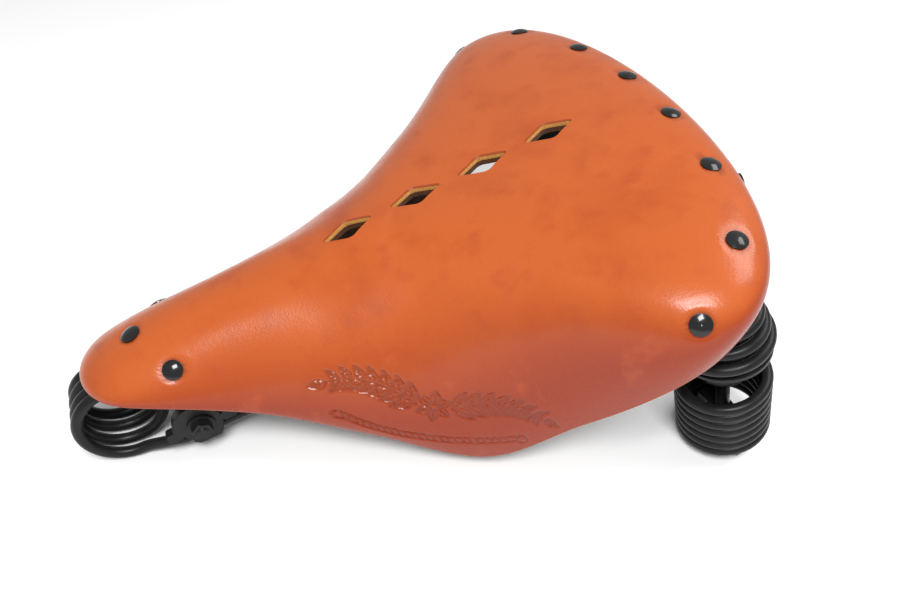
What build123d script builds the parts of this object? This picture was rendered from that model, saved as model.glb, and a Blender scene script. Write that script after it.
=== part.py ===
"""Sprung leather bicycle saddle, built as an assembly of separate pieces.

Frame: millimetres, +Z up, nose towards -Y, +X is the rider's left.
The origin is on the seat post's axis, level with the clamp bolt.
"""

import math
import os

from build123d import *

# ---------------------------------------------------------------- clearances
RUNNING_GAP = 0.05        # radial gap of a pin in a hole that it turns in
SLIDING_GAP = 0.08        # radial gap of a jaw groove round a rail
BODY_GAP = 0.4            # space between pieces that move past each other
SEAT_GAP = 0.02           # space between pieces that are bolted face to face

# ---------------------------------------------------------------- seat post and clamp
POST_DIAMETER = 22.2
STRAP_WALL = 2.8
STRAP_HEIGHT = 24.0
BOLT_AHEAD = 21.0         # the clamp bolt lies this far in front of the post's axis
CLAMP_BOLT_DIAMETER = 5.0
EAR_INNER = 5.0           # half the gap between the strap's ears
EAR_THICKNESS = 3.5
EAR_RADIUS = 9.5
CHEEK_RADIUS = 9.3
CHEEK_BACK = 7.0          # an inner cheek reaches this far behind the bolt
JAW_LENGTH = 13.4
JAW_CHAMFER = 2.0
JAW_TOP = 4.2             # a jaw reaches this far above the rail's axis
JAW_DROP = 2.0            # and this far below it
RAIL_BITE = 0.3           # the cheeks part this far outside the rail's axis
OUTER_CHEEK_THICKNESS = 4.2
BAR_LENGTH = 31.0
BAR_HEIGHT = 3.2
BAR_KNOB_LENGTH = 6.5
BAR_KNOB_HEIGHT = 5.2
BAR_DROP = 1.0            # the bar's middle lies this far below the bolt
FINGER_WIDTH = 2.8
FINGER_FROM = 75.0        # degrees round the bolt, from the rear over the top
FINGER_SWEEP = 115.0
CLAMP_NUT_FLATS = 8.0
CLAMP_NUT_HEIGHT = 3.2
CLAMP_WASHER_DIAMETER = 12.0
CLAMP_WASHER_THICKNESS = 1.2
CLAMP_BOLT_PROUD = 0.7

# ---------------------------------------------------------------- rails and front coil
WIRE_DIAMETER = 5.0
RAIL_HALF_SPACING = 18.0
RAIL_DROP = 8.5           # the rails lie this far below the clamp bolt
RAIL_STRAIGHT_FRONT = -31.0
RAIL_STRAIGHT_BACK = 13.0
COIL_AXIS_Y = -51.0
COIL_AXIS_Z = 8.9
COIL_RADIUS = 17.4
COIL_OUTER_X = 12.4       # the coil's foot, on the left
COIL_PITCH = 8.1          # rise of the turn from the foot
COIL_CLOSING = 1.2        # rise of the half turn from there up to the leg
COIL_LEAD = 3.0           # straight wire at the coil's foot, before the rail turns

# ---------------------------------------------------------------- nose joint
LEG_LENGTH = 27.5
LEG_PLAY = 0.3            # room round a leg where the set screw presses it
ANCHOR_LENGTH = 20.0
ANCHOR_WIDTH = 15.0
ANCHOR_HEIGHT = 8.0
ANCHOR_AHEAD = 16.5       # the anchor's front face lies this far in front of the hinge pin
NOSE_PIN_BEHIND = 32.0    # the hinge pin lies this far behind the coil's axis
NOSE_PIN_DIAMETER = 4.0
NOSE_EAR_THICKNESS = 2.0
NOSE_EAR_RADIUS = 5.0
NOSE_EAR_REACH = 17.0      # an ear reaches this far up from the pin, into the nose plate
PIN_REACH = 20.0          # the hinge pin's drill goes this far past the ears
PIN_HEAD_DIAMETER = 7.0
PIN_HEAD_THICKNESS = 1.5
SET_SCREW_DIAMETER = 3.0
SET_SCREW_PROUD = 0.6
LEG_BEND = 12.0           # radius of the bend between a turn and a leg or rail

# ---------------------------------------------------------------- rear springs
SPRING_X = 90.1
SPRING_Y = 188.3
FOOT_Z = -74.0
LOWER_TURNS = 7.1
LOWER_OUTER_DIAMETER = 40.9
LOWER_PITCH = 5.08
SPRING_EYE_RADIUS = 9.2   # centre line of the eye at the rail's end
UPPER_BASE_RADIUS = 19.3
UPPER_TOP_RADIUS = 9.5
UPPER_BASE_Z = -14.0
UPPER_TOP_Z = 19.5
UPPER_TURNS = 4.1
UPPER_WIRE_DIAMETER = 5.0
SPRING_BOLT_DIAMETER = 6.4
SPRING_NUT_FLATS = 10.0
SPRING_NUT_HEIGHT = 4.8
BRIDGE_RISE = 14.2        # the foot strap's middle stands this far above its feet
BRIDGE_WIDTH = 8.6
BRIDGE_THICKNESS = 1.6
SEAT_FLANGE = 1.6
SEAT_WALL = 3.0
CAP_THICKNESS = 1.6
CAP_RADIUS = 12.4
BOLT_PLAY = 3.6           # room round a spring bolt in the seat that it slides through
BOSS_DIAMETER = 13.0
BOSS_REACH = 24.0         # a boss reaches up into the cantle plate from this far below
BOLT_IN_BOSS = 4.0        # length of the spring bolt's top inside its boss
BOLT_BELOW_NUT = 2.4
FOOT_SHORT = 1.0          # a strap's feet end this far inside the wire's middle
STRAP_INNER_BEND = 1.2
STRAP_OUTER_BEND = 3.0
STRAP_LEAN = 1.5          # the strap's legs lean in by this much
UPPER_START = 200.0       # degrees round the spring where its lowest turn starts
SEAT_LIP = 0.3            # the seat's flange stands out past the wire's middle by this much
CLIP_LENGTH = 8.0
CLIP_WALL = 1.8
STAY_Y = 120.0
STAY_WIDTH = 12.0
STAY_THICKNESS = 2.5
STAY_LUG_RADIUS = 4.5
EYE_SWEEP = 285.0         # degrees that a rail's eye goes round its spring
EYE_RUN_IN = 22.0         # straight wire in front of the eye
RAIL_BENDS = (12.0, 12.0, 30.0, 40.0)
CLIP_AHEAD = 24.0         # the clip's middle lies this far in front of the rail's last bend
CLIP_LEG_AHEAD = 7.0      # the lower spring's leg goes this far past the clip
CLIP_LEG_BEHIND = 9.0     # and its bend starts this far behind it
LOWER_LEG_BEND = 14.0

# ---------------------------------------------------------------- leather
LEATHER_NOSE_Y = -55.6
LEATHER_REAR_Y = 220.8
GRAIN_THICKNESS = 2.6
LINING_THICKNESS = 2.4
LAYER_GAP = 0.02
PLATE_THICKNESS = 2.0
PLATE_GAP = 0.3
STATIONS = (-1.0, -0.85, -0.6, -0.3, 0.0, 0.3, 0.6, 0.85, 1.0)
HALF_WIDTH = (59.6, 48.0, 42.9, 55.7, 73.4, 97.8, 144.2, 182.3, 205.5)
CREST_HEIGHT = (59.7, 54.9, 48.9, 45.2, 47.5, 49.2, 54.0, 59.8, 65.8)
RIM_HEIGHT = (31.6, 25.1, 7.9, -15.5, -39.5, -20.2, 12.4, 24.1, 25.8)
SHOULDER_STATIONS = (-1.0, -0.6, 0.0, 0.6, 1.0)
SHOULDER_OUT = (0.50, 0.49, 0.72, 0.97, 0.76)
SHOULDER_UP = (0.32, 0.27, 0.43, 0.67, 0.61)
BULGE_STATIONS = (-1.0, -0.3, 0.3, 1.0)
SIDE_BULGE = (0.02, 0.08, 0.01, 0.11)
SKIN_GRID = 25
CANTLE_SPAN = ((-0.80, 0.40), (0.80, 0.80))
NOSE_SPAN = ((-0.60, -0.85), (0.60, -0.42))
CANTLE_TRIM_SPAN = ((-0.95, 0.2), (0.95, 0.97))
NOSE_TRIM_SPAN = ((-0.85, -0.97), (0.85, -0.2))

# ---------------------------------------------------------------- cut-outs and rivets
CUTOUT_LENGTH = 23.5
CUTOUT_WIDTH = 11.3
CUTOUT_CORNER = 1.0
CUTOUT_CENTRES = (69.5, 101.0, 132.4, 163.8)
RIVET_DIAMETER = 8.3
RIVET_DOME = 1.25
RIVET_EDGE = 0.2
RIVET_SINK = 0.4          # a rivet's head beds this far into the leather
RIVET_SHANK = 4.0
RIVET_TAIL = 1.4
RIVET_TAIL_RADIUS = 3.2
SPOT_FACE_DEPTH = 5.0     # the curved plates are faced off this far under a rivet's flat tail
REAR_RIVETS = ((17.8, 212.0), (54.5, 206.8), (92.4, 192.4), (112.1, 164.6))
REAR_FACE_RIVETS = ((57.9, 217.7),)
NOSE_RIVETS = ((0.0, -28.5), (21.5, -17.0))


# ================================================================ leather surface
def blend_stations(stations, values, at):
    """Smooth curve through hand-set stations, as a cubic in each span."""
    count = len(stations)
    slopes = [(values[i + 1] - values[i]) / (stations[i + 1] - stations[i]) for i in range(count - 1)]
    spans = [stations[i + 1] - stations[i] for i in range(count - 1)]
    tangents = [slopes[0]]
    for i in range(1, count - 1):
        both = spans[i - 1] + spans[i]
        tangents.append((slopes[i - 1] * spans[i] + slopes[i] * spans[i - 1]) / both)
    tangents.append(slopes[-1])
    k = 0
    while k < count - 2 and at > stations[k + 1]:
        k += 1
    t = (at - stations[k]) / spans[k]
    rise = (1 + 2 * t) * (1 - t) ** 2 * values[k] + t * t * (3 - 2 * t) * values[k + 1]
    return rise + spans[k] * (t * (1 - t) ** 2 * tangents[k] + t * t * (t - 1) * tangents[k + 1])


def crown_point(reach, cosine, sine):
    """Point of the outer leather: reach is 0 at the middle of the crown and 1 at the rim."""
    rest = 1 - reach
    bulge = blend_stations(BULGE_STATIONS, SIDE_BULGE, sine)
    shoulder_out = blend_stations(SHOULDER_STATIONS, SHOULDER_OUT, sine)
    shoulder_up = blend_stations(SHOULDER_STATIONS, SHOULDER_UP, sine)
    out = 3 * reach * rest**2 * shoulder_out + 3 * reach**2 * rest * (1 + bulge) + reach**3
    up = rest**3 + 3 * reach * rest**2 + 3 * reach**2 * rest * shoulder_up
    across = out * cosine
    along = out * sine
    x = across * blend_stations(STATIONS, HALF_WIDTH, along)
    y = (LEATHER_NOSE_Y + LEATHER_REAR_Y) / 2 + (LEATHER_REAR_Y - LEATHER_NOSE_Y) / 2 * along
    rim = blend_stations(STATIONS, RIM_HEIGHT, sine)
    crest = blend_stations(STATIONS, CREST_HEIGHT, along)
    return Vector(x, y, rim + (crest - rim) * up)


def grid_point(a, b):
    """Outer leather point for a place in the unit square, by way of the unit disc."""
    across = a * math.sqrt(1 - b * b / 2)
    along = b * math.sqrt(1 - a * a / 2)
    reach = math.hypot(across, along)
    if reach < 1e-9:
        return crown_point(0.0, 1.0, 0.0)
    return crown_point(reach, across / reach, along / reach)


def grid_normal(a, b):
    """Outward unit normal of the leather at a place in the unit square."""
    step = 0.004
    a_in = min(max(a, step - 0.98), 0.98 - step)
    b_in = min(max(b, step - 0.98), 0.98 - step)
    along_a = grid_point(a_in + step, b_in) - grid_point(a_in - step, b_in)
    along_b = grid_point(a_in, b_in + step) - grid_point(a_in, b_in - step)
    return along_a.cross(along_b).normalized()


def skin_face(depth, low, high, count):
    """Smooth face at a depth under the outer leather, over part of the unit square."""
    rows = []
    for i in range(count):
        a = low[0] + (high[0] - low[0]) * i / (count - 1)
        row = []
        for j in range(count):
            b = low[1] + (high[1] - low[1]) * j / (count - 1)
            row.append(grid_point(a, b) - grid_normal(a, b) * depth)
        rows.append(row)
    return Face.make_surface_from_array_of_points(rows, tol=0.02, smoothing=(1, 1, 1), max_deg=5)


def skin_sheet(top_depth, bottom_depth, low=(-1.0, -1.0), high=(1.0, 1.0), count=SKIN_GRID):
    """Closed sheet between two depths under the outer leather."""
    top = skin_face(top_depth, low, high, count)
    bottom = skin_face(bottom_depth, low, high, count)
    faces = [top, bottom]
    for upper in top.edges():
        middle = upper.position_at(0.5)
        lower = min(bottom.edges(), key=lambda edge: (edge.position_at(0.5) - middle).length)
        faces.append(Face.make_surface_from_curves(upper, lower))
    sheet = Solid(Shell(faces))
    return sheet if sheet.volume > 0 else -sheet


def place_on_leather(x, y):
    """The unit-square place whose outer leather point stands over (x, y), by closing in on it."""
    best = (0.0, 0.0)
    reach = 1.0
    while reach > 1e-4:
        steps = [reach * k / 6 for k in range(-6, 7)]
        tries = [(best[0] + p, best[1] + q) for p in steps for q in steps]
        tries = [(p, q) for p, q in tries if max(abs(p), abs(q)) <= 0.97]
        best = min(tries, key=lambda place: flat_distance(place, x, y))
        reach *= 0.4
    return best


def flat_distance(place, x, y):
    """Distance in plan from a place's outer leather point to (x, y), a little more when it is low."""
    point = grid_point(*place)
    return math.hypot(point.X - x, point.Y - y) - 1e-4 * point.Z


def rivet_plane(x, y):
    """Plane on the outer leather at (x, y), with its Z along the outward normal."""
    a, b = place_on_leather(x, y)
    return Plane(origin=grid_point(a, b), z_dir=grid_normal(a, b))


# ================================================================ small helpers
def both_sides(places):
    """Each place of the left side, followed by its mirror image."""
    return [(side * x, y) for x, y in places for side in (1, -1)]


def rod(start, end, diameter):
    """Round bar between two points."""
    axis = Vector(end) - Vector(start)
    bar = Cylinder(diameter / 2, axis.length, align=(Align.CENTER, Align.CENTER, Align.MIN))
    return Plane(origin=start, z_dir=axis) * bar


def hex_nut(origin, direction, flats, height, bore):
    """Chamfered hexagon nut standing on a point, along a direction."""
    blank = extrude(RegularPolygon(flats / 2, 6, major_radius=False), height)
    corner_cone = Cone(flats * 0.5 + height * 1.6, flats * 0.5, height * 1.6 + 0.001,
                       align=(Align.CENTER, Align.CENTER, Align.MIN))
    blank = blank & (Pos(0, 0, height - corner_cone.bounding_box().max.Z + flats * 0.03) * corner_cone)
    hole = Cylinder(bore / 2, height * 3)
    return Plane(origin=origin, z_dir=direction) * (blank - hole)


def washer(origin, direction, outer, inner, thickness):
    """Flat ring standing on a point, along a direction."""
    low = (Align.CENTER, Align.CENTER, Align.MIN)
    ring = Cylinder(outer / 2, thickness, align=low) - Cylinder(inner / 2, thickness, align=low)
    return Plane(origin=origin, z_dir=direction) * ring


def wire_along(path, diameter, frenet=False):
    """Round wire swept along a path from its start."""
    section = Plane(origin=path @ 0, z_dir=path % 0) * Circle(diameter / 2)
    return sweep(section, path=path, is_frenet=frenet)


def mirrored(shape):
    """Mirror image across the saddle's middle plane."""
    return mirror(shape, about=Plane.YZ)


# ================================================================ derived places
BOLT_Y = -BOLT_AHEAD
RAIL_Z = -RAIL_DROP
WIRE_RADIUS = WIRE_DIAMETER / 2
STRAP_OUTER_RADIUS = POST_DIAMETER / 2 + STRAP_WALL
EAR_OUTER = EAR_INNER + EAR_THICKNESS
CHEEK_SPLIT_X = RAIL_HALF_SPACING + RAIL_BITE
OUTER_CHEEK_X = CHEEK_SPLIT_X + BODY_GAP
OUTER_CHEEK_END = OUTER_CHEEK_X + OUTER_CHEEK_THICKNESS
CLAMP_WASHER_X = OUTER_CHEEK_END + SEAT_GAP
CLAMP_NUT_X = CLAMP_WASHER_X + CLAMP_WASHER_THICKNESS + SEAT_GAP
CLAMP_BOLT_END = CLAMP_NUT_X + CLAMP_NUT_HEIGHT + CLAMP_BOLT_PROUD
NOSE_PIN_Y = COIL_AXIS_Y + NOSE_PIN_BEHIND
NOSE_PIN_Z = COIL_AXIS_Z + COIL_RADIUS
NOSE_EAR_X = ANCHOR_WIDTH / 2 + BODY_GAP
LOWER_RADIUS = (LOWER_OUTER_DIAMETER - WIRE_DIAMETER) / 2
LOWER_BASE_Z = FOOT_Z + BRIDGE_THICKNESS
LOWER_TOP_Z = LOWER_BASE_Z + LOWER_TURNS * LOWER_PITCH + WIRE_DIAMETER
EYE_Z = LOWER_TOP_Z + BODY_GAP * 2 + WIRE_RADIUS
SEAT_BASE_Z = EYE_Z + WIRE_RADIUS + SEAT_GAP
SEAT_BORE = SPRING_BOLT_DIAMETER / 2 + BOLT_PLAY
BRIDGE_TOP_Z = FOOT_Z + BRIDGE_RISE + BRIDGE_THICKNESS
BOLT_TIP_Z = BRIDGE_TOP_Z - BRIDGE_THICKNESS - SPRING_NUT_HEIGHT - BOLT_BELOW_NUT
CAP_TOP_Z = UPPER_TOP_Z + CAP_THICKNESS
LINING_TOP = GRAIN_THICKNESS + LAYER_GAP
LINING_BOTTOM = LINING_TOP + LINING_THICKNESS
PLATE_TOP = LINING_BOTTOM + PLATE_GAP
PLATE_BOTTOM = PLATE_TOP + PLATE_THICKNESS
PLATE_MIDDLE = (PLATE_TOP + PLATE_BOTTOM) / 2


# ================================================================ seat clamp
def clamp_hole():
    """Tool for the hole that the clamp bolt goes through."""
    reach = CLAMP_BOLT_END + 10
    return rod((-reach, BOLT_Y, 0), (reach, BOLT_Y, 0), CLAMP_BOLT_DIAMETER + 2 * RUNNING_GAP)


def post_strap():
    """Bent strap round the seat post, with two ears that the clamp bolt draws together."""
    band = Cylinder(STRAP_OUTER_RADIUS, STRAP_HEIGHT)
    ears = Pos(0, BOLT_Y / 2, 0) * Box(2 * EAR_OUTER, BOLT_AHEAD, 2 * EAR_RADIUS)
    ears += rod((-EAR_OUTER, BOLT_Y, 0), (EAR_OUTER, BOLT_Y, 0), 2 * EAR_RADIUS)
    slot = Pos(0, BOLT_Y, 0) * Box(2 * EAR_INNER, 2 * BOLT_AHEAD, STRAP_HEIGHT * 2)
    post = Cylinder(POST_DIAMETER / 2, STRAP_HEIGHT * 2)
    return band + ears - slot - post - clamp_hole()


def rail_groove():
    """Tool for the groove that a jaw has along the left rail."""
    start = (RAIL_HALF_SPACING, BOLT_Y - BAR_LENGTH, RAIL_Z)
    end = (RAIL_HALF_SPACING, BOLT_Y + BAR_LENGTH, RAIL_Z)
    return rod(start, end, WIRE_DIAMETER + 2 * SLIDING_GAP)


def cheek_blank(low_x, high_x):
    """Round boss joined to a jaw along the rail, between two X planes."""
    boss = rod((low_x, BOLT_Y, 0), (high_x, BOLT_Y, 0), 2 * CHEEK_RADIUS)
    jaw_z = RAIL_Z + (JAW_TOP - JAW_DROP) / 2
    jaw = Box(high_x - low_x, JAW_LENGTH, JAW_TOP + JAW_DROP)
    jaw = chamfer(jaw.edges().filter_by(Axis.X), JAW_CHAMFER)
    return boss + Pos((low_x + high_x) / 2, BOLT_Y, jaw_z) * jaw


def inner_cheek():
    """Left inner cheek, between the strap's ear and the rail."""
    blank = cheek_blank(EAR_OUTER + SEAT_GAP, CHEEK_SPLIT_X)
    keep = Pos(0, BOLT_Y + CHEEK_BACK - 50, 0) * Box(200, 100, 100)
    return (blank & keep) - rail_groove() - clamp_hole()


def outer_cheek():
    """Left outer cheek: boss and jaw, a bar with a knob at each end, and a curved finger."""
    middle_x = (OUTER_CHEEK_X + OUTER_CHEEK_END) / 2
    blank = cheek_blank(OUTER_CHEEK_X, OUTER_CHEEK_END)
    blank += Pos(middle_x, BOLT_Y, -BAR_DROP) * Box(OUTER_CHEEK_THICKNESS, BAR_LENGTH, BAR_HEIGHT)
    for side in (-1, 1):
        knob = Box(OUTER_CHEEK_THICKNESS, BAR_KNOB_LENGTH, BAR_KNOB_HEIGHT)
        knob = chamfer(knob.edges().filter_by(Axis.X), 0.9)
        knob_y = BOLT_Y + side * (BAR_LENGTH - BAR_KNOB_LENGTH) / 2
        blank += Pos(middle_x, knob_y, -BAR_DROP) * knob
    return blank + cheek_finger() - rail_groove() - clamp_hole()


def cheek_finger():
    """Curved lip that stands round the front of the outer cheek's boss."""
    middle_radius = CHEEK_RADIUS + FINGER_WIDTH / 2 - 0.2
    lip = CenterArc((0, 0), middle_radius, FINGER_FROM, FINGER_SWEEP)
    face = trace(lip, FINGER_WIDTH)
    flat = Plane(origin=(OUTER_CHEEK_X, BOLT_Y, 0), x_dir=(0, 1, 0), z_dir=(1, 0, 0))
    return flat * extrude(face, OUTER_CHEEK_THICKNESS)


def clamp_nut(side):
    """Hexagon nut at one end of the clamp bolt."""
    origin = (side * CLAMP_NUT_X, BOLT_Y, 0)
    bore = CLAMP_BOLT_DIAMETER + 2 * RUNNING_GAP
    return hex_nut(origin, (side, 0, 0), CLAMP_NUT_FLATS, CLAMP_NUT_HEIGHT, bore)


def clamp_washers():
    """One washer under each clamp nut."""
    bore = CLAMP_BOLT_DIAMETER + 2 * RUNNING_GAP
    rings = []
    for side in (1, -1):
        origin = (side * CLAMP_WASHER_X, BOLT_Y, 0)
        rings.append(washer(origin, (side, 0, 0), CLAMP_WASHER_DIAMETER, bore, CLAMP_WASHER_THICKNESS))
    return Compound(children=rings)


def clamp_bolt():
    """Stud through the whole clamp, with a nut at each end."""
    stud = rod((-CLAMP_BOLT_END, BOLT_Y, 0), (CLAMP_BOLT_END, BOLT_Y, 0), CLAMP_BOLT_DIAMETER)
    return chamfer(stud.edges().filter_by(GeomType.CIRCLE), 0.7)


# ================================================================ rails and front coil
def coil_turns():
    """Centre lines of the left half of the front coil: a turn from its foot, then half a turn to its leg."""
    turn = Edge.make_helix(COIL_PITCH, COIL_PITCH, COIL_RADIUS)
    half_turn = Edge.make_helix(2 * COIL_CLOSING, COIL_CLOSING, COIL_RADIUS)
    placed = []
    for x, line in ((COIL_OUTER_X, turn), (COIL_OUTER_X - COIL_PITCH, half_turn)):
        frame = Plane(origin=(x, COIL_AXIS_Y, COIL_AXIS_Z), x_dir=(0, 0, -1), z_dir=(-1, 0, 0))
        placed.append(frame * line)
    return placed


def rail_points(foot, direction):
    """Corner points of the left rail, from the coil's foot to the rear spring's eye."""
    eye_side = SPRING_X - SPRING_EYE_RADIUS
    return [
        foot,
        foot + direction * COIL_LEAD,
        Vector(RAIL_HALF_SPACING, RAIL_STRAIGHT_FRONT, RAIL_Z),
        Vector(RAIL_HALF_SPACING, RAIL_STRAIGHT_BACK, RAIL_Z),
        Vector(eye_side, SPRING_Y - EYE_RUN_IN, EYE_Z),
        Vector(eye_side, SPRING_Y, EYE_Z),
    ]


def rail():
    """Left rail: half of the front coil, the straight rail and the eye at its end, in one wire."""
    turn, half_turn = coil_turns()
    coil = wire_along(turn, WIRE_DIAMETER, frenet=True) + wire_along(half_turn, WIRE_DIAMETER, frenet=True)
    points = rail_points(turn @ 0, (turn % 0) * -1)
    run = FilletPolyline(*points, radius=list(RAIL_BENDS))
    straight = wire_along(run, WIRE_DIAMETER)
    loop = CenterArc((SPRING_X, SPRING_Y, EYE_Z), SPRING_EYE_RADIUS, 180, -EYE_SWEEP)
    eye = wire_along(loop, WIRE_DIAMETER)
    top = half_turn @ 1
    leg_bend = top + (half_turn % 1) * 4
    leg_end = Vector(leg_bend.X, top.Y + LEG_LENGTH, top.Z)
    leg_path = FilletPolyline(top, leg_bend, leg_end, radius=[LEG_BEND])
    leg = wire_along(leg_path, WIRE_DIAMETER)
    return coil + straight + eye + leg


def coil_anchor():
    """Block that holds the coil's two legs and turns on the nose hinge pin."""
    middle_y = NOSE_PIN_Y - ANCHOR_AHEAD + ANCHOR_LENGTH / 2
    block = Pos(0, middle_y, NOSE_PIN_Z) * Box(ANCHOR_WIDTH, ANCHOR_LENGTH, ANCHOR_HEIGHT)
    block = chamfer(block.edges().filter_by(Axis.X), 1.2)
    reach = NOSE_EAR_X + PIN_REACH
    pin = rod((-reach, NOSE_PIN_Y, NOSE_PIN_Z), (reach, NOSE_PIN_Y, NOSE_PIN_Z),
              NOSE_PIN_DIAMETER + 2 * RUNNING_GAP)
    block = block - pin
    for screw in anchor_screw_places():
        above = (screw[0], screw[1], screw[2] + 2 * ANCHOR_HEIGHT)
        block -= rod(screw, above, SET_SCREW_DIAMETER + 2 * SEAT_GAP)
    top = coil_turns()[1] @ 1
    for side in (1, -1):
        start = (side * top.X, top.Y, top.Z)
        end = (side * top.X, top.Y + LEG_LENGTH + SEAT_GAP, top.Z)
        block -= rod(start, end, WIRE_DIAMETER + 2 * LEG_PLAY)
    return block


def anchor_screw_places():
    """Where the set screws press on the coil's legs."""
    x = COIL_OUTER_X - COIL_PITCH - COIL_CLOSING
    y = COIL_AXIS_Y + LEG_LENGTH - 3.5
    return [(side * x, y, NOSE_PIN_Z + WIRE_RADIUS + SEAT_GAP) for side in (1, -1)]


def anchor_screws():
    """Two set screws that hold the legs in the anchor."""
    screws = []
    for x, y, z in anchor_screw_places():
        top = NOSE_PIN_Z + ANCHOR_HEIGHT / 2 + SET_SCREW_PROUD
        screws.append(rod((x, y, z), (x, y, top), SET_SCREW_DIAMETER))
    return Compound(children=screws)


def nose_hinge_pin():
    """Pin through the nose plate's ears and the anchor, with a flat head at each end."""
    end = NOSE_EAR_X + NOSE_EAR_THICKNESS + SEAT_GAP
    pin = rod((-end, NOSE_PIN_Y, NOSE_PIN_Z), (end, NOSE_PIN_Y, NOSE_PIN_Z), NOSE_PIN_DIAMETER)
    for side in (1, -1):
        inner = (side * end, NOSE_PIN_Y, NOSE_PIN_Z)
        outer = (side * (end + PIN_HEAD_THICKNESS), NOSE_PIN_Y, NOSE_PIN_Z)
        pin += rod(inner, outer, PIN_HEAD_DIAMETER)
    return pin


# ================================================================ rear springs
def lower_helix():
    """Centre line of the left lower spring, from its foot up."""
    flat = Edge.make_helix(LOWER_PITCH, LOWER_PITCH * LOWER_TURNS, LOWER_RADIUS)
    turn = 180 - 360 * (LOWER_TURNS % 1)
    return Pos(SPRING_X, SPRING_Y, LOWER_BASE_Z + WIRE_RADIUS) * Rot(0, 0, turn) * flat


def rail_clip_place():
    """Point on the left rail where the lower spring's leg is clipped, and the rail's direction."""
    start = Vector(RAIL_HALF_SPACING, RAIL_STRAIGHT_BACK, RAIL_Z)
    end = Vector(SPRING_X - SPRING_EYE_RADIUS, SPRING_Y - EYE_RUN_IN, EYE_Z)
    direction = (end - start).normalized()
    return end - direction * CLIP_AHEAD, direction


def lower_spring():
    """Left lower spring: close turns, and a leg on top that runs forward beside the rail."""
    helix = lower_helix()
    turns = wire_along(helix, WIRE_DIAMETER, frenet=True)
    top = helix @ 1
    clip, direction = rail_clip_place()
    below = Vector(0, 0, -1) * (WIRE_DIAMETER + BODY_GAP)
    points = [top, top + (helix % 1) * CLIP_LEG_BEHIND, clip + below + direction * CLIP_LEG_BEHIND,
              clip + below - direction * CLIP_LEG_AHEAD]
    leg = wire_along(FilletPolyline(*points, radius=[LOWER_LEG_BEND, LOWER_LEG_BEND]), WIRE_DIAMETER)
    return turns + leg


def spring_clip():
    """Band that ties the left lower spring's leg to the rail."""
    clip, direction = rail_clip_place()
    lower = Vector(0, 0, -1) * (WIRE_DIAMETER + BODY_GAP)
    outer = WIRE_DIAMETER + 2 * CLIP_WALL
    start = clip - direction * (CLIP_LENGTH / 2)
    end = clip + direction * (CLIP_LENGTH / 2)
    band = rod(start, end, outer) + rod(start + lower, end + lower, outer)
    frame = Plane(origin=clip + lower / 2, x_dir=Vector(0, 0, 1).cross(direction), z_dir=direction)
    band += frame * Box(outer, lower.length, CLIP_LENGTH)
    reach = direction * CLIP_LENGTH
    bore = WIRE_DIAMETER + 2 * SEAT_GAP
    for middle in (clip, clip + lower):
        band -= rod(middle - reach, middle + reach, bore)
    return band


def upper_spring():
    """Left upper spring: open turns that narrow upwards."""
    rise = UPPER_TOP_Z - UPPER_BASE_Z - UPPER_WIRE_DIAMETER
    taper = math.degrees(math.atan2(UPPER_TOP_RADIUS - UPPER_BASE_RADIUS, rise))
    helix = Edge.make_helix(rise / UPPER_TURNS, rise, UPPER_BASE_RADIUS, angle=taper)
    helix = Pos(SPRING_X, SPRING_Y, UPPER_BASE_Z + UPPER_WIRE_DIAMETER / 2) * Rot(0, 0, UPPER_START) * helix
    return wire_along(helix, UPPER_WIRE_DIAMETER, frenet=True)


def spring_seat():
    """Left spring seat: a flanged collar that stands on the rail's eye and carries the upper spring."""
    low = (Align.CENTER, Align.CENTER, Align.MIN)
    height = UPPER_BASE_Z - SEAT_BASE_Z
    collar = Cylinder(SEAT_BORE + SEAT_WALL, height, align=low)
    flange = Cylinder(UPPER_BASE_RADIUS + SEAT_LIP, SEAT_FLANGE, align=low)
    seat = collar + Pos(0, 0, height - SEAT_FLANGE) * flange
    seat -= Cylinder(SEAT_BORE, height * 2, align=low)
    return Pos(SPRING_X, SPRING_Y, SEAT_BASE_Z) * seat


def spring_cap():
    """Left spring cap: the round plate on top of the upper spring."""
    origin = (SPRING_X, SPRING_Y, UPPER_TOP_Z + SEAT_GAP)
    bore = SPRING_BOLT_DIAMETER + 2 * RUNNING_GAP
    return washer(origin, (0, 0, 1), 2 * CAP_RADIUS, bore, CAP_THICKNESS)


def spring_bolt():
    """Left spring bolt, from the cantle plate's boss down to the foot strap."""
    top = CAP_TOP_Z + SEAT_GAP + BOLT_IN_BOSS
    bolt = rod((SPRING_X, SPRING_Y, BOLT_TIP_Z), (SPRING_X, SPRING_Y, top), SPRING_BOLT_DIAMETER)
    return chamfer(bolt.edges().filter_by(GeomType.CIRCLE), 0.7)


def foot_strap():
    """Left foot strap: a bridge over the bolt's nut, with feet turned out under the lower spring."""
    foot_x = LOWER_RADIUS - FOOT_SHORT
    leg_x = LOWER_RADIUS - WIRE_RADIUS - BRIDGE_THICKNESS / 2 - BODY_GAP
    low = FOOT_Z + BRIDGE_THICKNESS / 2
    high = BRIDGE_TOP_Z - BRIDGE_THICKNESS / 2
    half = [(foot_x, low), (leg_x, low), (leg_x - STRAP_LEAN, high)]
    other = [(-x, z) for x, z in reversed(half)]
    bends = [STRAP_INNER_BEND, STRAP_OUTER_BEND, STRAP_OUTER_BEND, STRAP_INNER_BEND]
    line = FilletPolyline(*half, *other, radius=bends)
    flat = Plane(origin=(SPRING_X, SPRING_Y + BRIDGE_WIDTH / 2, 0), x_dir=(1, 0, 0), z_dir=(0, -1, 0))
    strap = flat * extrude(trace(line, BRIDGE_THICKNESS), BRIDGE_WIDTH)
    hole = rod((SPRING_X, SPRING_Y, FOOT_Z), (SPRING_X, SPRING_Y, 0), SPRING_BOLT_DIAMETER + 2 * RUNNING_GAP)
    return strap - hole


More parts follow.
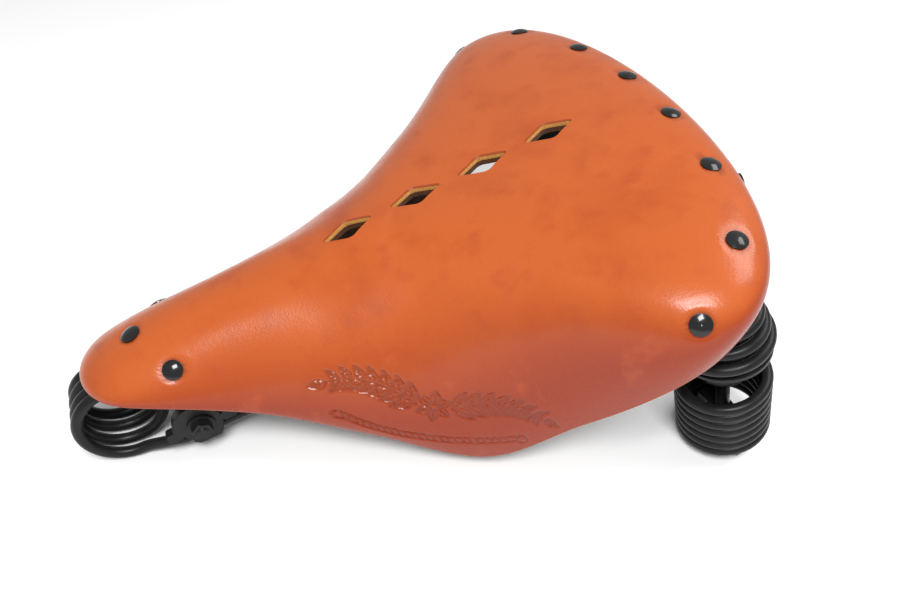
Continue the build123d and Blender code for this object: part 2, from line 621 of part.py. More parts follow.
def spring_nut():
    """Left spring nut, under the foot strap's bridge."""
    origin = (SPRING_X, SPRING_Y, BRIDGE_TOP_Z - BRIDGE_THICKNESS - SEAT_GAP)
    bore = SPRING_BOLT_DIAMETER + 2 * RUNNING_GAP
    return hex_nut(origin, (0, 0, -1), SPRING_NUT_FLATS, SPRING_NUT_HEIGHT, bore)


def cross_stay():
    """Flat stay that ties the two rails together behind the clamp."""
    start = Vector(RAIL_HALF_SPACING, RAIL_STRAIGHT_BACK, RAIL_Z)
    end = Vector(SPRING_X - SPRING_EYE_RADIUS, SPRING_Y - EYE_RUN_IN, EYE_Z)
    share = (STAY_Y - start.Y) / (end.Y - start.Y)
    place = start + (end - start) * share
    direction = (end - start).normalized()
    span = 2 * place.X
    stay = Pos(0, STAY_Y, place.Z) * Box(span, STAY_WIDTH, STAY_THICKNESS)
    for side in (1, -1):
        centre = Vector(side * place.X, STAY_Y, place.Z)
        along = Vector(side * direction.X, direction.Y, direction.Z) * (STAY_WIDTH / 2)
        stay += rod(centre - along, centre + along, 2 * STAY_LUG_RADIUS)
    for side in (1, -1):
        centre = Vector(side * place.X, STAY_Y, place.Z)
        along = Vector(side * direction.X, direction.Y, direction.Z) * STAY_WIDTH
        stay -= rod(centre - along, centre + along, WIRE_DIAMETER + 2 * SEAT_GAP)
    return stay


# ================================================================ leather, plates and rivets
def cutout_tools():
    """Tools for the diamond cut-outs along the middle of the crown."""
    tools = []
    half_length = CUTOUT_LENGTH / 2
    half_width = CUTOUT_WIDTH / 2
    for y in CUTOUT_CENTRES:
        corners = [(0, -half_length), (half_width, 0), (0, half_length), (-half_width, 0)]
        diamond = fillet(Polygon(*corners, align=None).vertices(), CUTOUT_CORNER)
        tools.append(Pos(0, y, 0) * extrude(diamond, 100))
    return tools


def rivet_planes(places):
    """Planes of a row of rivets on both sides; a rivet on the middle line is made once."""
    sides = [place for place in both_sides(places) if place[0] != 0]
    middle = [place for place in places if place[0] == 0]
    return [rivet_plane(x, y) for x, y in middle + sides]


def rivets(planes):
    """Domed rivets: head on the leather, shank through it and the plate, and a tail below."""
    radius = RIVET_DIAMETER / 2
    grip = PLATE_BOTTOM + SEAT_GAP
    shank = RIVET_SHANK / 2 - RUNNING_GAP
    rise = RIVET_DOME - RIVET_EDGE
    ball = (radius**2 + rise**2) / (2 * rise)
    half_angle = math.asin(radius / ball) / 2
    shoulder = (ball * math.sin(half_angle), RIVET_DOME - ball + ball * math.cos(half_angle))
    low = -grip - RIVET_TAIL
    under = RUNNING_GAP - RIVET_SINK
    outline = Polyline((0, RIVET_DOME), (0, low), (RIVET_TAIL_RADIUS, low), (RIVET_TAIL_RADIUS, -grip),
                       (shank, -grip), (shank, under), (radius, under), (radius, RIVET_EDGE))
    profile = make_face(outline + ThreePointArc((radius, RIVET_EDGE), shoulder, (0, RIVET_DOME)))
    flat = Plane.XZ * profile
    solid = revolve(flat, Axis.Z)
    return Compound(children=[plane * solid for plane in planes])


def rivet_holes(planes):
    """Tools for the rivets' holes."""
    depth = PLATE_BOTTOM + 6
    return [plane * Cylinder(RIVET_SHANK / 2, 2 * depth) for plane in planes]


def head_beds(planes):
    """Tools for the shallow beds that the rivets' heads lie in."""
    low = (Align.CENTER, Align.CENTER, Align.MIN)
    bed = Pos(0, 0, -RIVET_SINK) * Cylinder(RIVET_DIAMETER / 2 + RUNNING_GAP, SPOT_FACE_DEPTH, align=low)
    return [plane * bed for plane in planes]


def spot_faces(planes):
    """Tools that face off a curved plate where the rivets' tails press on it."""
    low = (Align.CENTER, Align.CENTER, Align.MAX)
    face = Pos(0, 0, -PLATE_BOTTOM) * Cylinder(RIVET_TAIL_RADIUS + BODY_GAP, SPOT_FACE_DEPTH, align=low)
    return [plane * face for plane in planes]


def above_plate(span):
    """Space above the middle of a plate, to trim what is welded under it."""
    (low_a, low_b), (high_a, high_b) = span
    return skin_sheet(-14.0, PLATE_MIDDLE, (low_a, low_b), (high_a, high_b), 13)


def cantle_plate(holes):
    """Rear plate inside the leather, with a threaded boss over each spring."""
    plate = skin_sheet(PLATE_TOP, PLATE_BOTTOM, *CANTLE_SPAN, 15)
    trim = above_plate(CANTLE_TRIM_SPAN)
    for side in (1, -1):
        foot = (side * SPRING_X, SPRING_Y, CAP_TOP_Z + 2 * SEAT_GAP)
        boss = rod(foot, (foot[0], foot[1], foot[2] + BOSS_REACH), BOSS_DIAMETER) - trim
        plate += boss
        drilled = (foot[0], foot[1], foot[2] + BOLT_IN_BOSS + BODY_GAP)
        plate -= rod(foot, drilled, SPRING_BOLT_DIAMETER + 2 * SEAT_GAP)
    for hole in holes:
        plate -= hole
    return plate


def nose_plate(holes):
    """Front plate inside the leather, with two ears for the hinge pin."""
    plate = skin_sheet(PLATE_TOP, PLATE_BOTTOM, *NOSE_SPAN, 15)
    trim = above_plate(NOSE_TRIM_SPAN)
    for side in (1, -1):
        inner = side * NOSE_EAR_X
        outer = side * (NOSE_EAR_X + NOSE_EAR_THICKNESS)
        ear = rod((inner, NOSE_PIN_Y, NOSE_PIN_Z), (outer, NOSE_PIN_Y, NOSE_PIN_Z), 2 * NOSE_EAR_RADIUS)
        low = (Align.CENTER, Align.CENTER, Align.MIN)
        tall = Box(NOSE_EAR_THICKNESS, 2 * NOSE_EAR_RADIUS, NOSE_EAR_REACH, align=low)
        ear += Pos((inner + outer) / 2, NOSE_PIN_Y, NOSE_PIN_Z) * tall
        plate += ear - trim
    reach = NOSE_EAR_X + PIN_REACH
    plate -= rod((-reach, NOSE_PIN_Y, NOSE_PIN_Z), (reach, NOSE_PIN_Y, NOSE_PIN_Z),
                 NOSE_PIN_DIAMETER + 2 * SEAT_GAP)
    for hole in holes:
        plate -= hole
    return plate


def leather_layer(top, bottom, tools):
    """One layer of the moulded leather, with its cut-outs and rivet holes."""
    layer = skin_sheet(top, bottom)
    for tool in tools:
        layer -= tool
    return layer


# ================================================================ build
def left_and_right(name, shape):
    """The left piece and its mirror image, as two nodes."""
    return {f"left_{name}": shape, f"right_{name}": mirrored(shape)}


def clamp_nodes():
    """The seat clamp's nodes."""
    nodes = {"post_strap": post_strap(), "clamp_bolt": clamp_bolt(), "clamp_washers": clamp_washers()}
    nodes.update(left_and_right("inner_cheek", inner_cheek()))
    nodes.update(left_and_right("outer_cheek", outer_cheek()))
    nodes["left_clamp_nut"] = clamp_nut(1)
    nodes["right_clamp_nut"] = clamp_nut(-1)
    return nodes


def undercarriage_nodes():
    """The rails, the front coil's anchor and the rear springs' nodes."""
    nodes = left_and_right("rail", rail())
    nodes["coil_anchor"] = coil_anchor()
    nodes["anchor_screws"] = anchor_screws()
    nodes["cross_stay"] = cross_stay()
    nodes.update(left_and_right("lower_spring", lower_spring()))
    nodes.update(left_and_right("spring_clip", spring_clip()))
    nodes.update(left_and_right("upper_spring", upper_spring()))
    nodes.update(left_and_right("spring_seat", spring_seat()))
    nodes.update(left_and_right("spring_cap", spring_cap()))
    nodes.update(left_and_right("spring_bolt", spring_bolt()))
    nodes.update(left_and_right("foot_strap", foot_strap()))
    nodes.update(left_and_right("spring_nut", spring_nut()))
    return nodes


def seat_nodes():
    """The leather, its plates and its rivets."""
    rear = rivet_planes(REAR_RIVETS)
    rear_face = rivet_planes(REAR_FACE_RIVETS)
    nose = rivet_planes(NOSE_RIVETS)
    rear_holes = rivet_holes(rear + rear_face)
    nose_holes = rivet_holes(nose)
    tools = cutout_tools() + rear_holes + nose_holes
    return {
        "leather_top": leather_layer(0.0, GRAIN_THICKNESS, tools + head_beds(rear + rear_face + nose)),
        "leather_lining": leather_layer(LINING_TOP, LINING_BOTTOM, tools),
        "cantle_plate": cantle_plate(rear_holes + spot_faces(rear + rear_face)),
        "nose_plate": nose_plate(nose_holes + spot_faces(nose)),
        "nose_hinge_pin": nose_hinge_pin(),
        "rear_rivets": rivets(rear),
        "rear_face_rivets": rivets(rear_face),
        "nose_rivets": rivets(nose),
    }


if __name__ == "__main__":
    os.makedirs("parts", exist_ok=True)
    for group in (clamp_nodes(), undercarriage_nodes(), seat_nodes()):
        for name, shape in group.items():
            export_step(shape, f"parts/{name}.step")
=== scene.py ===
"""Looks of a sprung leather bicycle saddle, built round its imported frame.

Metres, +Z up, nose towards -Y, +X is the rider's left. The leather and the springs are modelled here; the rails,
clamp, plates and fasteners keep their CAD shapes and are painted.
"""

import logging
import math
from dataclasses import dataclass, field
from enum import Enum

import bpy
import numpy as np
from mathutils import Matrix, Vector


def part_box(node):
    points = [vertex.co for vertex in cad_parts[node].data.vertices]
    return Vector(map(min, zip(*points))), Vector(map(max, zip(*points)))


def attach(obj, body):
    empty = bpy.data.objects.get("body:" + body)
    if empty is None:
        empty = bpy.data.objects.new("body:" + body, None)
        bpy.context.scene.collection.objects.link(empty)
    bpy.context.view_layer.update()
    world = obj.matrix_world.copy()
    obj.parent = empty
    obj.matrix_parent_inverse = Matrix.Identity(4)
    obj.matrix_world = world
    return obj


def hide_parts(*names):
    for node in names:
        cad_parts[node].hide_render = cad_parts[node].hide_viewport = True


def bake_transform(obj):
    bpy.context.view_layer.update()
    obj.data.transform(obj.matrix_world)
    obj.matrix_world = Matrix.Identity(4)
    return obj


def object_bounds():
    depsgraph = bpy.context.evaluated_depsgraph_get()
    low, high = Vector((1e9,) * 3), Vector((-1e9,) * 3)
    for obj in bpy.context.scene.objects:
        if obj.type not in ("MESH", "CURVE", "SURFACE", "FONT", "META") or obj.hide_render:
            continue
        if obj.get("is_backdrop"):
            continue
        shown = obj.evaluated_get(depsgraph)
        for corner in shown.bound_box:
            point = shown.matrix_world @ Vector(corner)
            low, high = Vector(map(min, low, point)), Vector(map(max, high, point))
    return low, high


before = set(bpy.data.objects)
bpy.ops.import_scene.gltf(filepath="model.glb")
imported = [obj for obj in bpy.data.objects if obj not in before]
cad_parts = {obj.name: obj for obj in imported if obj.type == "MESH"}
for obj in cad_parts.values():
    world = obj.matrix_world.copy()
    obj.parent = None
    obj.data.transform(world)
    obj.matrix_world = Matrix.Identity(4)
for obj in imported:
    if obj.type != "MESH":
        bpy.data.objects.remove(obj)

LOG = logging.getLogger("saddle")
MM = 0.001


class Side(Enum):
    """The rider's left and right."""

    LEFT = 1
    RIGHT = -1

    @property
    def word(self) -> str:
        """Lower-case name, as the CAD nodes use it."""
        return self.name.lower()


class Body(Enum):
    """The CAD bodies that pieces ride on."""

    UNDERCARRIAGE = "undercarriage"
    SEAT_TOP = "seat_top"


# ------------------------------------------------------------------ small tools
def clear_selection() -> None:
    """Deselects everything, so that an operator acts on its own piece only."""
    bpy.ops.object.select_all(action="DESELECT")


def pick(piece: bpy.types.Object) -> None:
    """Selects one piece alone and makes it active."""
    clear_selection()
    piece.select_set(True)
    bpy.context.view_layer.objects.active = piece


def apply_modifier(piece: bpy.types.Object, kind: str, **settings: object) -> None:
    """Adds a modifier to a piece, sets it and applies it.

    Args:
        piece: the mesh object.
        kind: the modifier's type, such as "BOOLEAN".
        settings: values for the modifier's properties.
    """
    pick(piece)
    modifier = piece.modifiers.new(kind.lower(), kind)
    for name, value in settings.items():
        setattr(modifier, name, value)
    bpy.ops.object.modifier_apply(modifier=modifier.name)


def points_of(piece: bpy.types.Object) -> np.ndarray:
    """Vertex places of a mesh as an (n, 3) array."""
    flat = np.zeros(len(piece.data.vertices) * 3)
    piece.data.vertices.foreach_get("co", flat)
    return flat.reshape(-1, 3)


def set_points(piece: bpy.types.Object, points: np.ndarray) -> None:
    """Moves a mesh's vertices to new places."""
    piece.data.vertices.foreach_set("co", np.asarray(points, float).ravel())
    piece.data.update()


def read_floats(piece: bpy.types.Object, name: str) -> np.ndarray:
    """Values of a float attribute on the vertices."""
    values = np.zeros(len(piece.data.vertices))
    piece.data.attributes[name].data.foreach_get("value", values)
    return values


def write_floats(piece: bpy.types.Object, name: str, values: np.ndarray) -> None:
    """Stores a float attribute on the vertices, new or again."""
    layer = piece.data.attributes.get(name) or piece.data.attributes.new(name, "FLOAT", "POINT")
    layer.data.foreach_set("value", np.asarray(values, np.float32))


def smooth_step(low: float, high: float, value: np.ndarray) -> np.ndarray:
    """Eased rise from 0 at low to 1 at high."""
    t = np.clip((value - low) / (high - low), 0.0, 1.0)
    return t * t * (3 - 2 * t)


# ------------------------------------------------------------------ finishes
class NodeBench:
    """A new material's node tree, with short ways to add and join nodes."""

    def __init__(self, name: str) -> None:
        """Starts a material that holds only its shader and output."""
        self.material = bpy.data.materials.new(name)
        self.material.use_nodes = True
        self.tree = self.material.node_tree
        self.shader = self.tree.nodes["Principled BSDF"]
        self.places = self.add("ShaderNodeTexCoord").outputs["Object"]

    def add(self, kind: str, **values: object) -> bpy.types.Node:
        """Adds a node.

        Args:
            kind: the node's type name.
            values: socket values or links by socket name with _ for a space, or node properties.

        Returns:
            The node.
        """
        node = self.tree.nodes.new(kind)
        for name, value in values.items():
            socket = node.inputs.get(name.replace("_", " "))
            if socket is None:
                setattr(node, name, value)
            elif isinstance(value, bpy.types.NodeSocket):
                self.tree.links.new(value, socket)
            else:
                socket.default_value = value
        return node

    def noise(self, scale: float, detail: float = 3.0, roughness: float = 0.55) -> bpy.types.NodeSocket:
        """Noise over the piece's own coordinates, from 0 to 1."""
        node = self.add("ShaderNodeTexNoise", Vector=self.places, Scale=scale, Detail=detail, Roughness=roughness)
        return node.outputs["Fac"]

    def spread(self, value: bpy.types.NodeSocket, low: float, high: float, to_low: float,
               to_high: float) -> bpy.types.NodeSocket:
        """Maps a value from one range to another, held at both ends."""
        node = self.add("ShaderNodeMapRange", Value=value)
        for name, number in (("From Min", low), ("From Max", high), ("To Min", to_low), ("To Max", to_high)):
            node.inputs[name].default_value = number
        return node.outputs["Result"]

    def mix(self, share: bpy.types.NodeSocket, first: object, second: object) -> bpy.types.NodeSocket:
        """Mixes two colours by a share."""
        node = self.add("ShaderNodeMixRGB")
        self.tree.links.new(share, node.inputs[0])
        for socket, colour in ((node.inputs[1], first), (node.inputs[2], second)):
            if isinstance(colour, bpy.types.NodeSocket):
                self.tree.links.new(colour, socket)
            else:
                socket.default_value = (*colour, 1.0)
        return node.outputs[0]

    def attribute(self, name: str) -> bpy.types.NodeSocket:
        """A float attribute of the piece."""
        return self.add("ShaderNodeAttribute", attribute_name=name).outputs["Fac"]

    def bump(self, height: bpy.types.NodeSocket, depth: float, strength: float,
             under: object = None) -> bpy.types.NodeSocket:
        """Bump from a height, over an earlier bump if there is one."""
        node = self.add("ShaderNodeBump", Height=height, Distance=depth, Strength=strength)
        if under is not None:
            self.tree.links.new(under, node.inputs["Normal"])
        return node.outputs["Normal"]

    def wire(self, socket: str, value: bpy.types.NodeSocket) -> None:
        """Joins a value to one of the shader's sockets."""
        self.tree.links.new(value, self.shader.inputs[socket])

    def set(self, **values: float) -> None:
        """Sets the shader's own sockets, by name with _ for a space."""
        for name, value in values.items():
            self.shader.inputs[name.replace("_", " ")].default_value = value


@dataclass(frozen=True)
class LeatherFinish:
    """Burnished vegetable-tanned leather, with its mottling and pores, painted shade down its sides and painted
    shade in its tooled grooves.

    Attributes:
        crown: colour on top of the crown, the lit end of the painted shading.
        flank: deeper colour down the sides, painted shade where they turn away from the light above.
        mottle: colour of the uneven stains.
        burnish: painted shade in the tooled grooves and beside the rivets.
        raw: paler colour where the edge is cut and worn.
        roughness: middle roughness of the polished face.
    """

    name: str = "saddle_leather"
    crown: tuple = (0.44, 0.088, 0.016)
    flank: tuple = (0.26, 0.027, 0.0030)
    mottle: tuple = (0.30, 0.042, 0.010)
    burnish: tuple = (0.115, 0.018, 0.008)
    raw: tuple = (0.62, 0.31, 0.085)
    roughness: float = 0.26

    def material(self) -> bpy.types.Material:
        """Builds the material."""
        bench = NodeBench(self.name)
        broad = bench.noise(24.0, 4.0, 0.6)
        cloudy = bench.noise(95.0, 5.0, 0.65)
        speck = bench.noise(900.0, 3.0, 0.7)
        # Painted shade: lighter on top, darker down the sides as they turn away from up.
        colour = bench.mix(bench.attribute("flank"), self.crown, self.flank)
        colour = bench.mix(bench.spread(broad, 0.48, 0.78, 0.0, 0.45), colour, self.flank)
        colour = bench.mix(bench.spread(cloudy, 0.55, 0.80, 0.0, 0.38), colour, self.mottle)
        colour = bench.mix(bench.spread(speck, 0.56, 0.74, 0.0, 0.22), colour, self.mottle)
        pale = tuple(min(1.0, c * 1.35 + 0.01) for c in self.crown)
        colour = bench.mix(bench.spread(bench.noise(52.0, 4.0, 0.6), 0.60, 0.80, 0.0, 0.28), colour, pale)
        # Painted shade in the tooled grooves and in a ring round each rivet head.
        colour = bench.mix(bench.attribute("burnish"), colour, self.burnish)
        colour = bench.mix(bench.attribute("worn_edge"), colour, self.raw)
        bench.wire("Base Color", colour)
        bench.wire("Roughness", bench.spread(cloudy, 0.3, 0.75, self.roughness - 0.05, self.roughness + 0.09))
        pores = bench.add("ShaderNodeTexVoronoi", Vector=bench.places, Scale=1150.0, feature="F1")
        grain = bench.bump(pores.outputs["Distance"], 0.00009, 0.30)
        grain = bench.bump(bench.noise(620.0, 4.0, 0.6), 0.00012, 0.28, grain)
        grain = bench.bump(bench.noise(70.0, 3.0, 0.5), 0.0006, 0.20, grain)
        bench.wire("Normal", grain)
        bench.set(Coat_Weight=0.16, Coat_Roughness=0.16, Specular_IOR_Level=0.28)
        return bench.material


@dataclass(frozen=True)
class RawEdgeFinish:
    """Cut edge of the leather, or its flesh side: fibrous and matt.

    Attributes:
        colour: the fibres' colour.
        shade: colour of the gaps between them.
        layer: depth of the fibre's relief, in metres.
    """

    name: str
    colour: tuple
    shade: tuple
    layer: float = 0.00025

    def material(self) -> bpy.types.Material:
        """Builds the material."""
        bench = NodeBench(self.name)
        fibres = bench.noise(1400.0, 5.0, 0.7)
        patches = bench.noise(180.0, 3.0, 0.6)
        colour = bench.mix(bench.spread(fibres, 0.4, 0.65, 0.0, 1.0), self.colour, self.shade)
        colour = bench.mix(bench.spread(patches, 0.45, 0.75, 0.0, 0.5), colour, self.shade)
        bench.wire("Base Color", colour)
        bench.wire("Roughness", bench.spread(patches, 0.3, 0.7, 0.68, 0.86))
        bench.wire("Normal", bench.bump(fibres, self.layer, 0.6))
        bench.set(Specular_IOR_Level=0.25)
        return bench.material


@dataclass(frozen=True)
class BlackFinish:
    """Black paint or oxide on steel.

    Attributes:
        colour: its colour.
        dust: colour of the dusty patches.
        roughness: middle roughness.
        metal: how metallic it is.
        coat: strength of a clear gloss over it.
        peel: depth of its unevenness, in metres.
        edge: radius that its sharp edges are softened to, in metres.
    """

    name: str
    colour: tuple
    dust: tuple
    roughness: float
    metal: float = 0.0
    coat: float = 0.0
    peel: float = 0.00003
    edge: float = 0.0

    def material(self) -> bpy.types.Material:
        """Builds the material."""
        bench = NodeBench(self.name)
        patches = bench.noise(130.0, 4.0, 0.6)
        fine = bench.noise(1500.0, 3.0, 0.6)
        colour = bench.mix(bench.spread(patches, 0.5, 0.8, 0.0, 0.7), self.colour, self.dust)
        colour = bench.mix(bench.spread(fine, 0.6, 0.8, 0.0, 0.35), colour, self.dust)
        bench.wire("Base Color", colour)
        bench.wire("Roughness", bench.spread(patches, 0.3, 0.75, self.roughness - 0.05, self.roughness + 0.08))
        soft = None
        if self.edge > 0:
            soft = bench.add("ShaderNodeBevel", samples=6, Radius=self.edge).outputs["Normal"]
        bench.wire("Normal", bench.bump(fine, self.peel, 0.35, soft))
        bench.set(Metallic=self.metal, Coat_Weight=self.coat, Coat_Roughness=0.08, Specular_IOR_Level=0.2)
        return bench.material


@dataclass
class Finishes:
    """Every finish of the saddle, made once."""

    leather: bpy.types.Material = field(init=False)
    burnished: bpy.types.Material = field(init=False)
    cut_edge: bpy.types.Material = field(init=False)
    flesh: bpy.types.Material = field(init=False)
    flesh_edge: bpy.types.Material = field(init=False)
    rivet: bpy.types.Material = field(init=False)
    wire: bpy.types.Material = field(init=False)
    plate: bpy.types.Material = field(init=False)
    fastener: bpy.types.Material = field(init=False)

    def __post_init__(self) -> None:
        """Builds each material."""
        self.leather = LeatherFinish().material()
        # Its crown and flank colours are painted light and painted shade, as on the leather.
        self.burnished = LeatherFinish(name="burnished_rim", crown=(0.34, 0.050, 0.012),
                                       flank=(0.26, 0.036, 0.010), roughness=0.42).material()
        self.cut_edge = RawEdgeFinish("leather_cut_edge", (0.60, 0.30, 0.075), (0.40, 0.17, 0.040)).material()
        self.flesh = RawEdgeFinish("leather_flesh_side", (0.085, 0.035, 0.018), (0.040, 0.016, 0.009)).material()
        self.flesh_edge = RawEdgeFinish("lining_cut_edge", (0.12, 0.045, 0.02), (0.05, 0.02, 0.01)).material()
        self.rivet = BlackFinish("rivet_black", (0.008, 0.008, 0.009), (0.016, 0.016, 0.017), 0.20, coat=0.5,
                                 peel=0.00002).material()
        self.wire = BlackFinish("spring_wire_black", (0.010, 0.010, 0.011), (0.020, 0.020, 0.021), 0.33).material()
        self.plate = BlackFinish("plate_black", (0.010, 0.010, 0.011), (0.021, 0.020, 0.020), 0.38,
                                 edge=0.0005).material()
        self.fastener = BlackFinish("fastener_black", (0.020, 0.020, 0.021), (0.040, 0.038, 0.036), 0.36,
                                    metal=0.55, edge=0.0003).material()


# ------------------------------------------------------------------ form of the leather
@dataclass
class CrownForm:
    """Form of the moulded crown, from given sections between the nose (-1) and the rear (1).

    Attributes:
        ends: where the nose and the rear end, in millimetres along Y.
        stations: places of the sections.
        half_width: half the plan width at each section.
        crest: height of the middle line at each section.
        rim: height of the lower edge at each section.
        shoulder_stations: places of the shoulder's values.
        shoulder_out: how far the shoulder's first handle reaches out.
        shoulder_up: how high its second handle stands.
        bulge_stations: places of the bulge's values.
        bulge: how far the flank swells past its edge.
    """

    ends: tuple = (-55.6, 220.8)
    stations: tuple = (-1.0, -0.85, -0.6, -0.3, 0.0, 0.3, 0.6, 0.85, 1.0)
    half_width: tuple = (59.6, 48.0, 42.9, 55.7, 73.4, 97.8, 144.2, 182.3, 205.5)
    crest: tuple = (59.7, 54.9, 48.9, 45.2, 47.5, 49.2, 54.0, 59.8, 65.8)
    rim: tuple = (31.6, 25.1, 7.9, -15.5, -39.5, -20.2, 12.4, 24.1, 25.8)
    shoulder_stations: tuple = (-1.0, -0.6, 0.0, 0.6, 1.0)
    shoulder_out: tuple = (0.50, 0.49, 0.72, 0.97, 0.76)
    shoulder_up: tuple = (0.32, 0.27, 0.43, 0.67, 0.61)
    bulge_stations: tuple = (-1.0, -0.3, 0.3, 1.0)
    bulge: tuple = (0.02, 0.08, 0.01, 0.11)

    @staticmethod
    def along(stations: tuple, values: tuple, at: np.ndarray) -> np.ndarray:
        """Smooth curve through given values, as a cubic in each span."""
        places = np.array(stations)
        heights = np.array(values)
        spans = np.diff(places)
        slopes = np.diff(heights) / spans
        middle = (slopes[:-1] * spans[1:] + slopes[1:] * spans[:-1]) / (spans[:-1] + spans[1:])
        tangents = np.concatenate([slopes[:1], middle, slopes[-1:]])
        k = np.clip(np.searchsorted(places, at, side="left") - 1, 0, len(spans) - 1)
        t = (at - places[k]) / spans[k]
        rise = (1 + 2 * t) * (1 - t) ** 2 * heights[k] + t * t * (3 - 2 * t) * heights[k + 1]
        return rise + spans[k] * (t * (1 - t) ** 2 * tangents[k] + t * t * (t - 1) * tangents[k + 1])

    def point(self, a: np.ndarray, b: np.ndarray) -> np.ndarray:
        """Outer leather points in millimetres, for places in the unit square."""
        across = a * np.sqrt(1 - b * b / 2)
        ahead = b * np.sqrt(1 - a * a / 2)
        reach = np.maximum(np.hypot(across, ahead), 1e-9)
        cosine, sine = across / reach, ahead / reach
        rest = 1 - reach
        bulge = self.along(self.bulge_stations, self.bulge, sine)
        shoulder_out = self.along(self.shoulder_stations, self.shoulder_out, sine)
        shoulder_up = self.along(self.shoulder_stations, self.shoulder_up, sine)
        out = 3 * reach * rest**2 * shoulder_out + 3 * reach**2 * rest * (1 + bulge) + reach**3
        up = rest**3 + 3 * reach * rest**2 + 3 * reach**2 * rest * shoulder_up
        x = out * cosine * self.along(self.stations, self.half_width, out * sine)
        y = (self.ends[0] + self.ends[1]) / 2 + (self.ends[1] - self.ends[0]) / 2 * out * sine
        rim = self.along(self.stations, self.rim, sine)
        crest = self.along(self.stations, self.crest, out * sine)
        return np.stack([x, y, rim + (crest - rim) * up], axis=-1)

    def normal(self, a: np.ndarray, b: np.ndarray) -> np.ndarray:
        """Outward unit normals at places in the unit square."""
        step = 0.004
        a_in = np.clip(a, step - 0.98, 0.98 - step)
        b_in = np.clip(b, step - 0.98, 0.98 - step)
        along_a = self.point(a_in + step, b_in) - self.point(a_in - step, b_in)
        along_b = self.point(a_in, b_in + step) - self.point(a_in, b_in - step)
        cross = np.cross(along_a, along_b)
        return cross / np.linalg.norm(cross, axis=-1, keepdims=True)

    def place_over(self, x: float, y: float) -> tuple[float, float]:
        """The place whose outer point stands over (x, y) in millimetres, by closing in on it."""
        best = (0.0, 0.0)
        reach = 1.0
        while reach > 1e-4:
            steps = np.linspace(-reach, reach, 13)
            a, b = np.meshgrid(best[0] + steps, best[1] + steps)
            a, b = np.clip(a.ravel(), -0.97, 0.97), np.clip(b.ravel(), -0.97, 0.97)
            point = self.point(a, b)
            away = np.hypot(point[:, 0] - x, point[:, 1] - y) - 1e-4 * point[:, 2]
            k = int(np.argmin(away))
            best = (float(a[k]), float(b[k]))
            reach *= 0.4
        return best


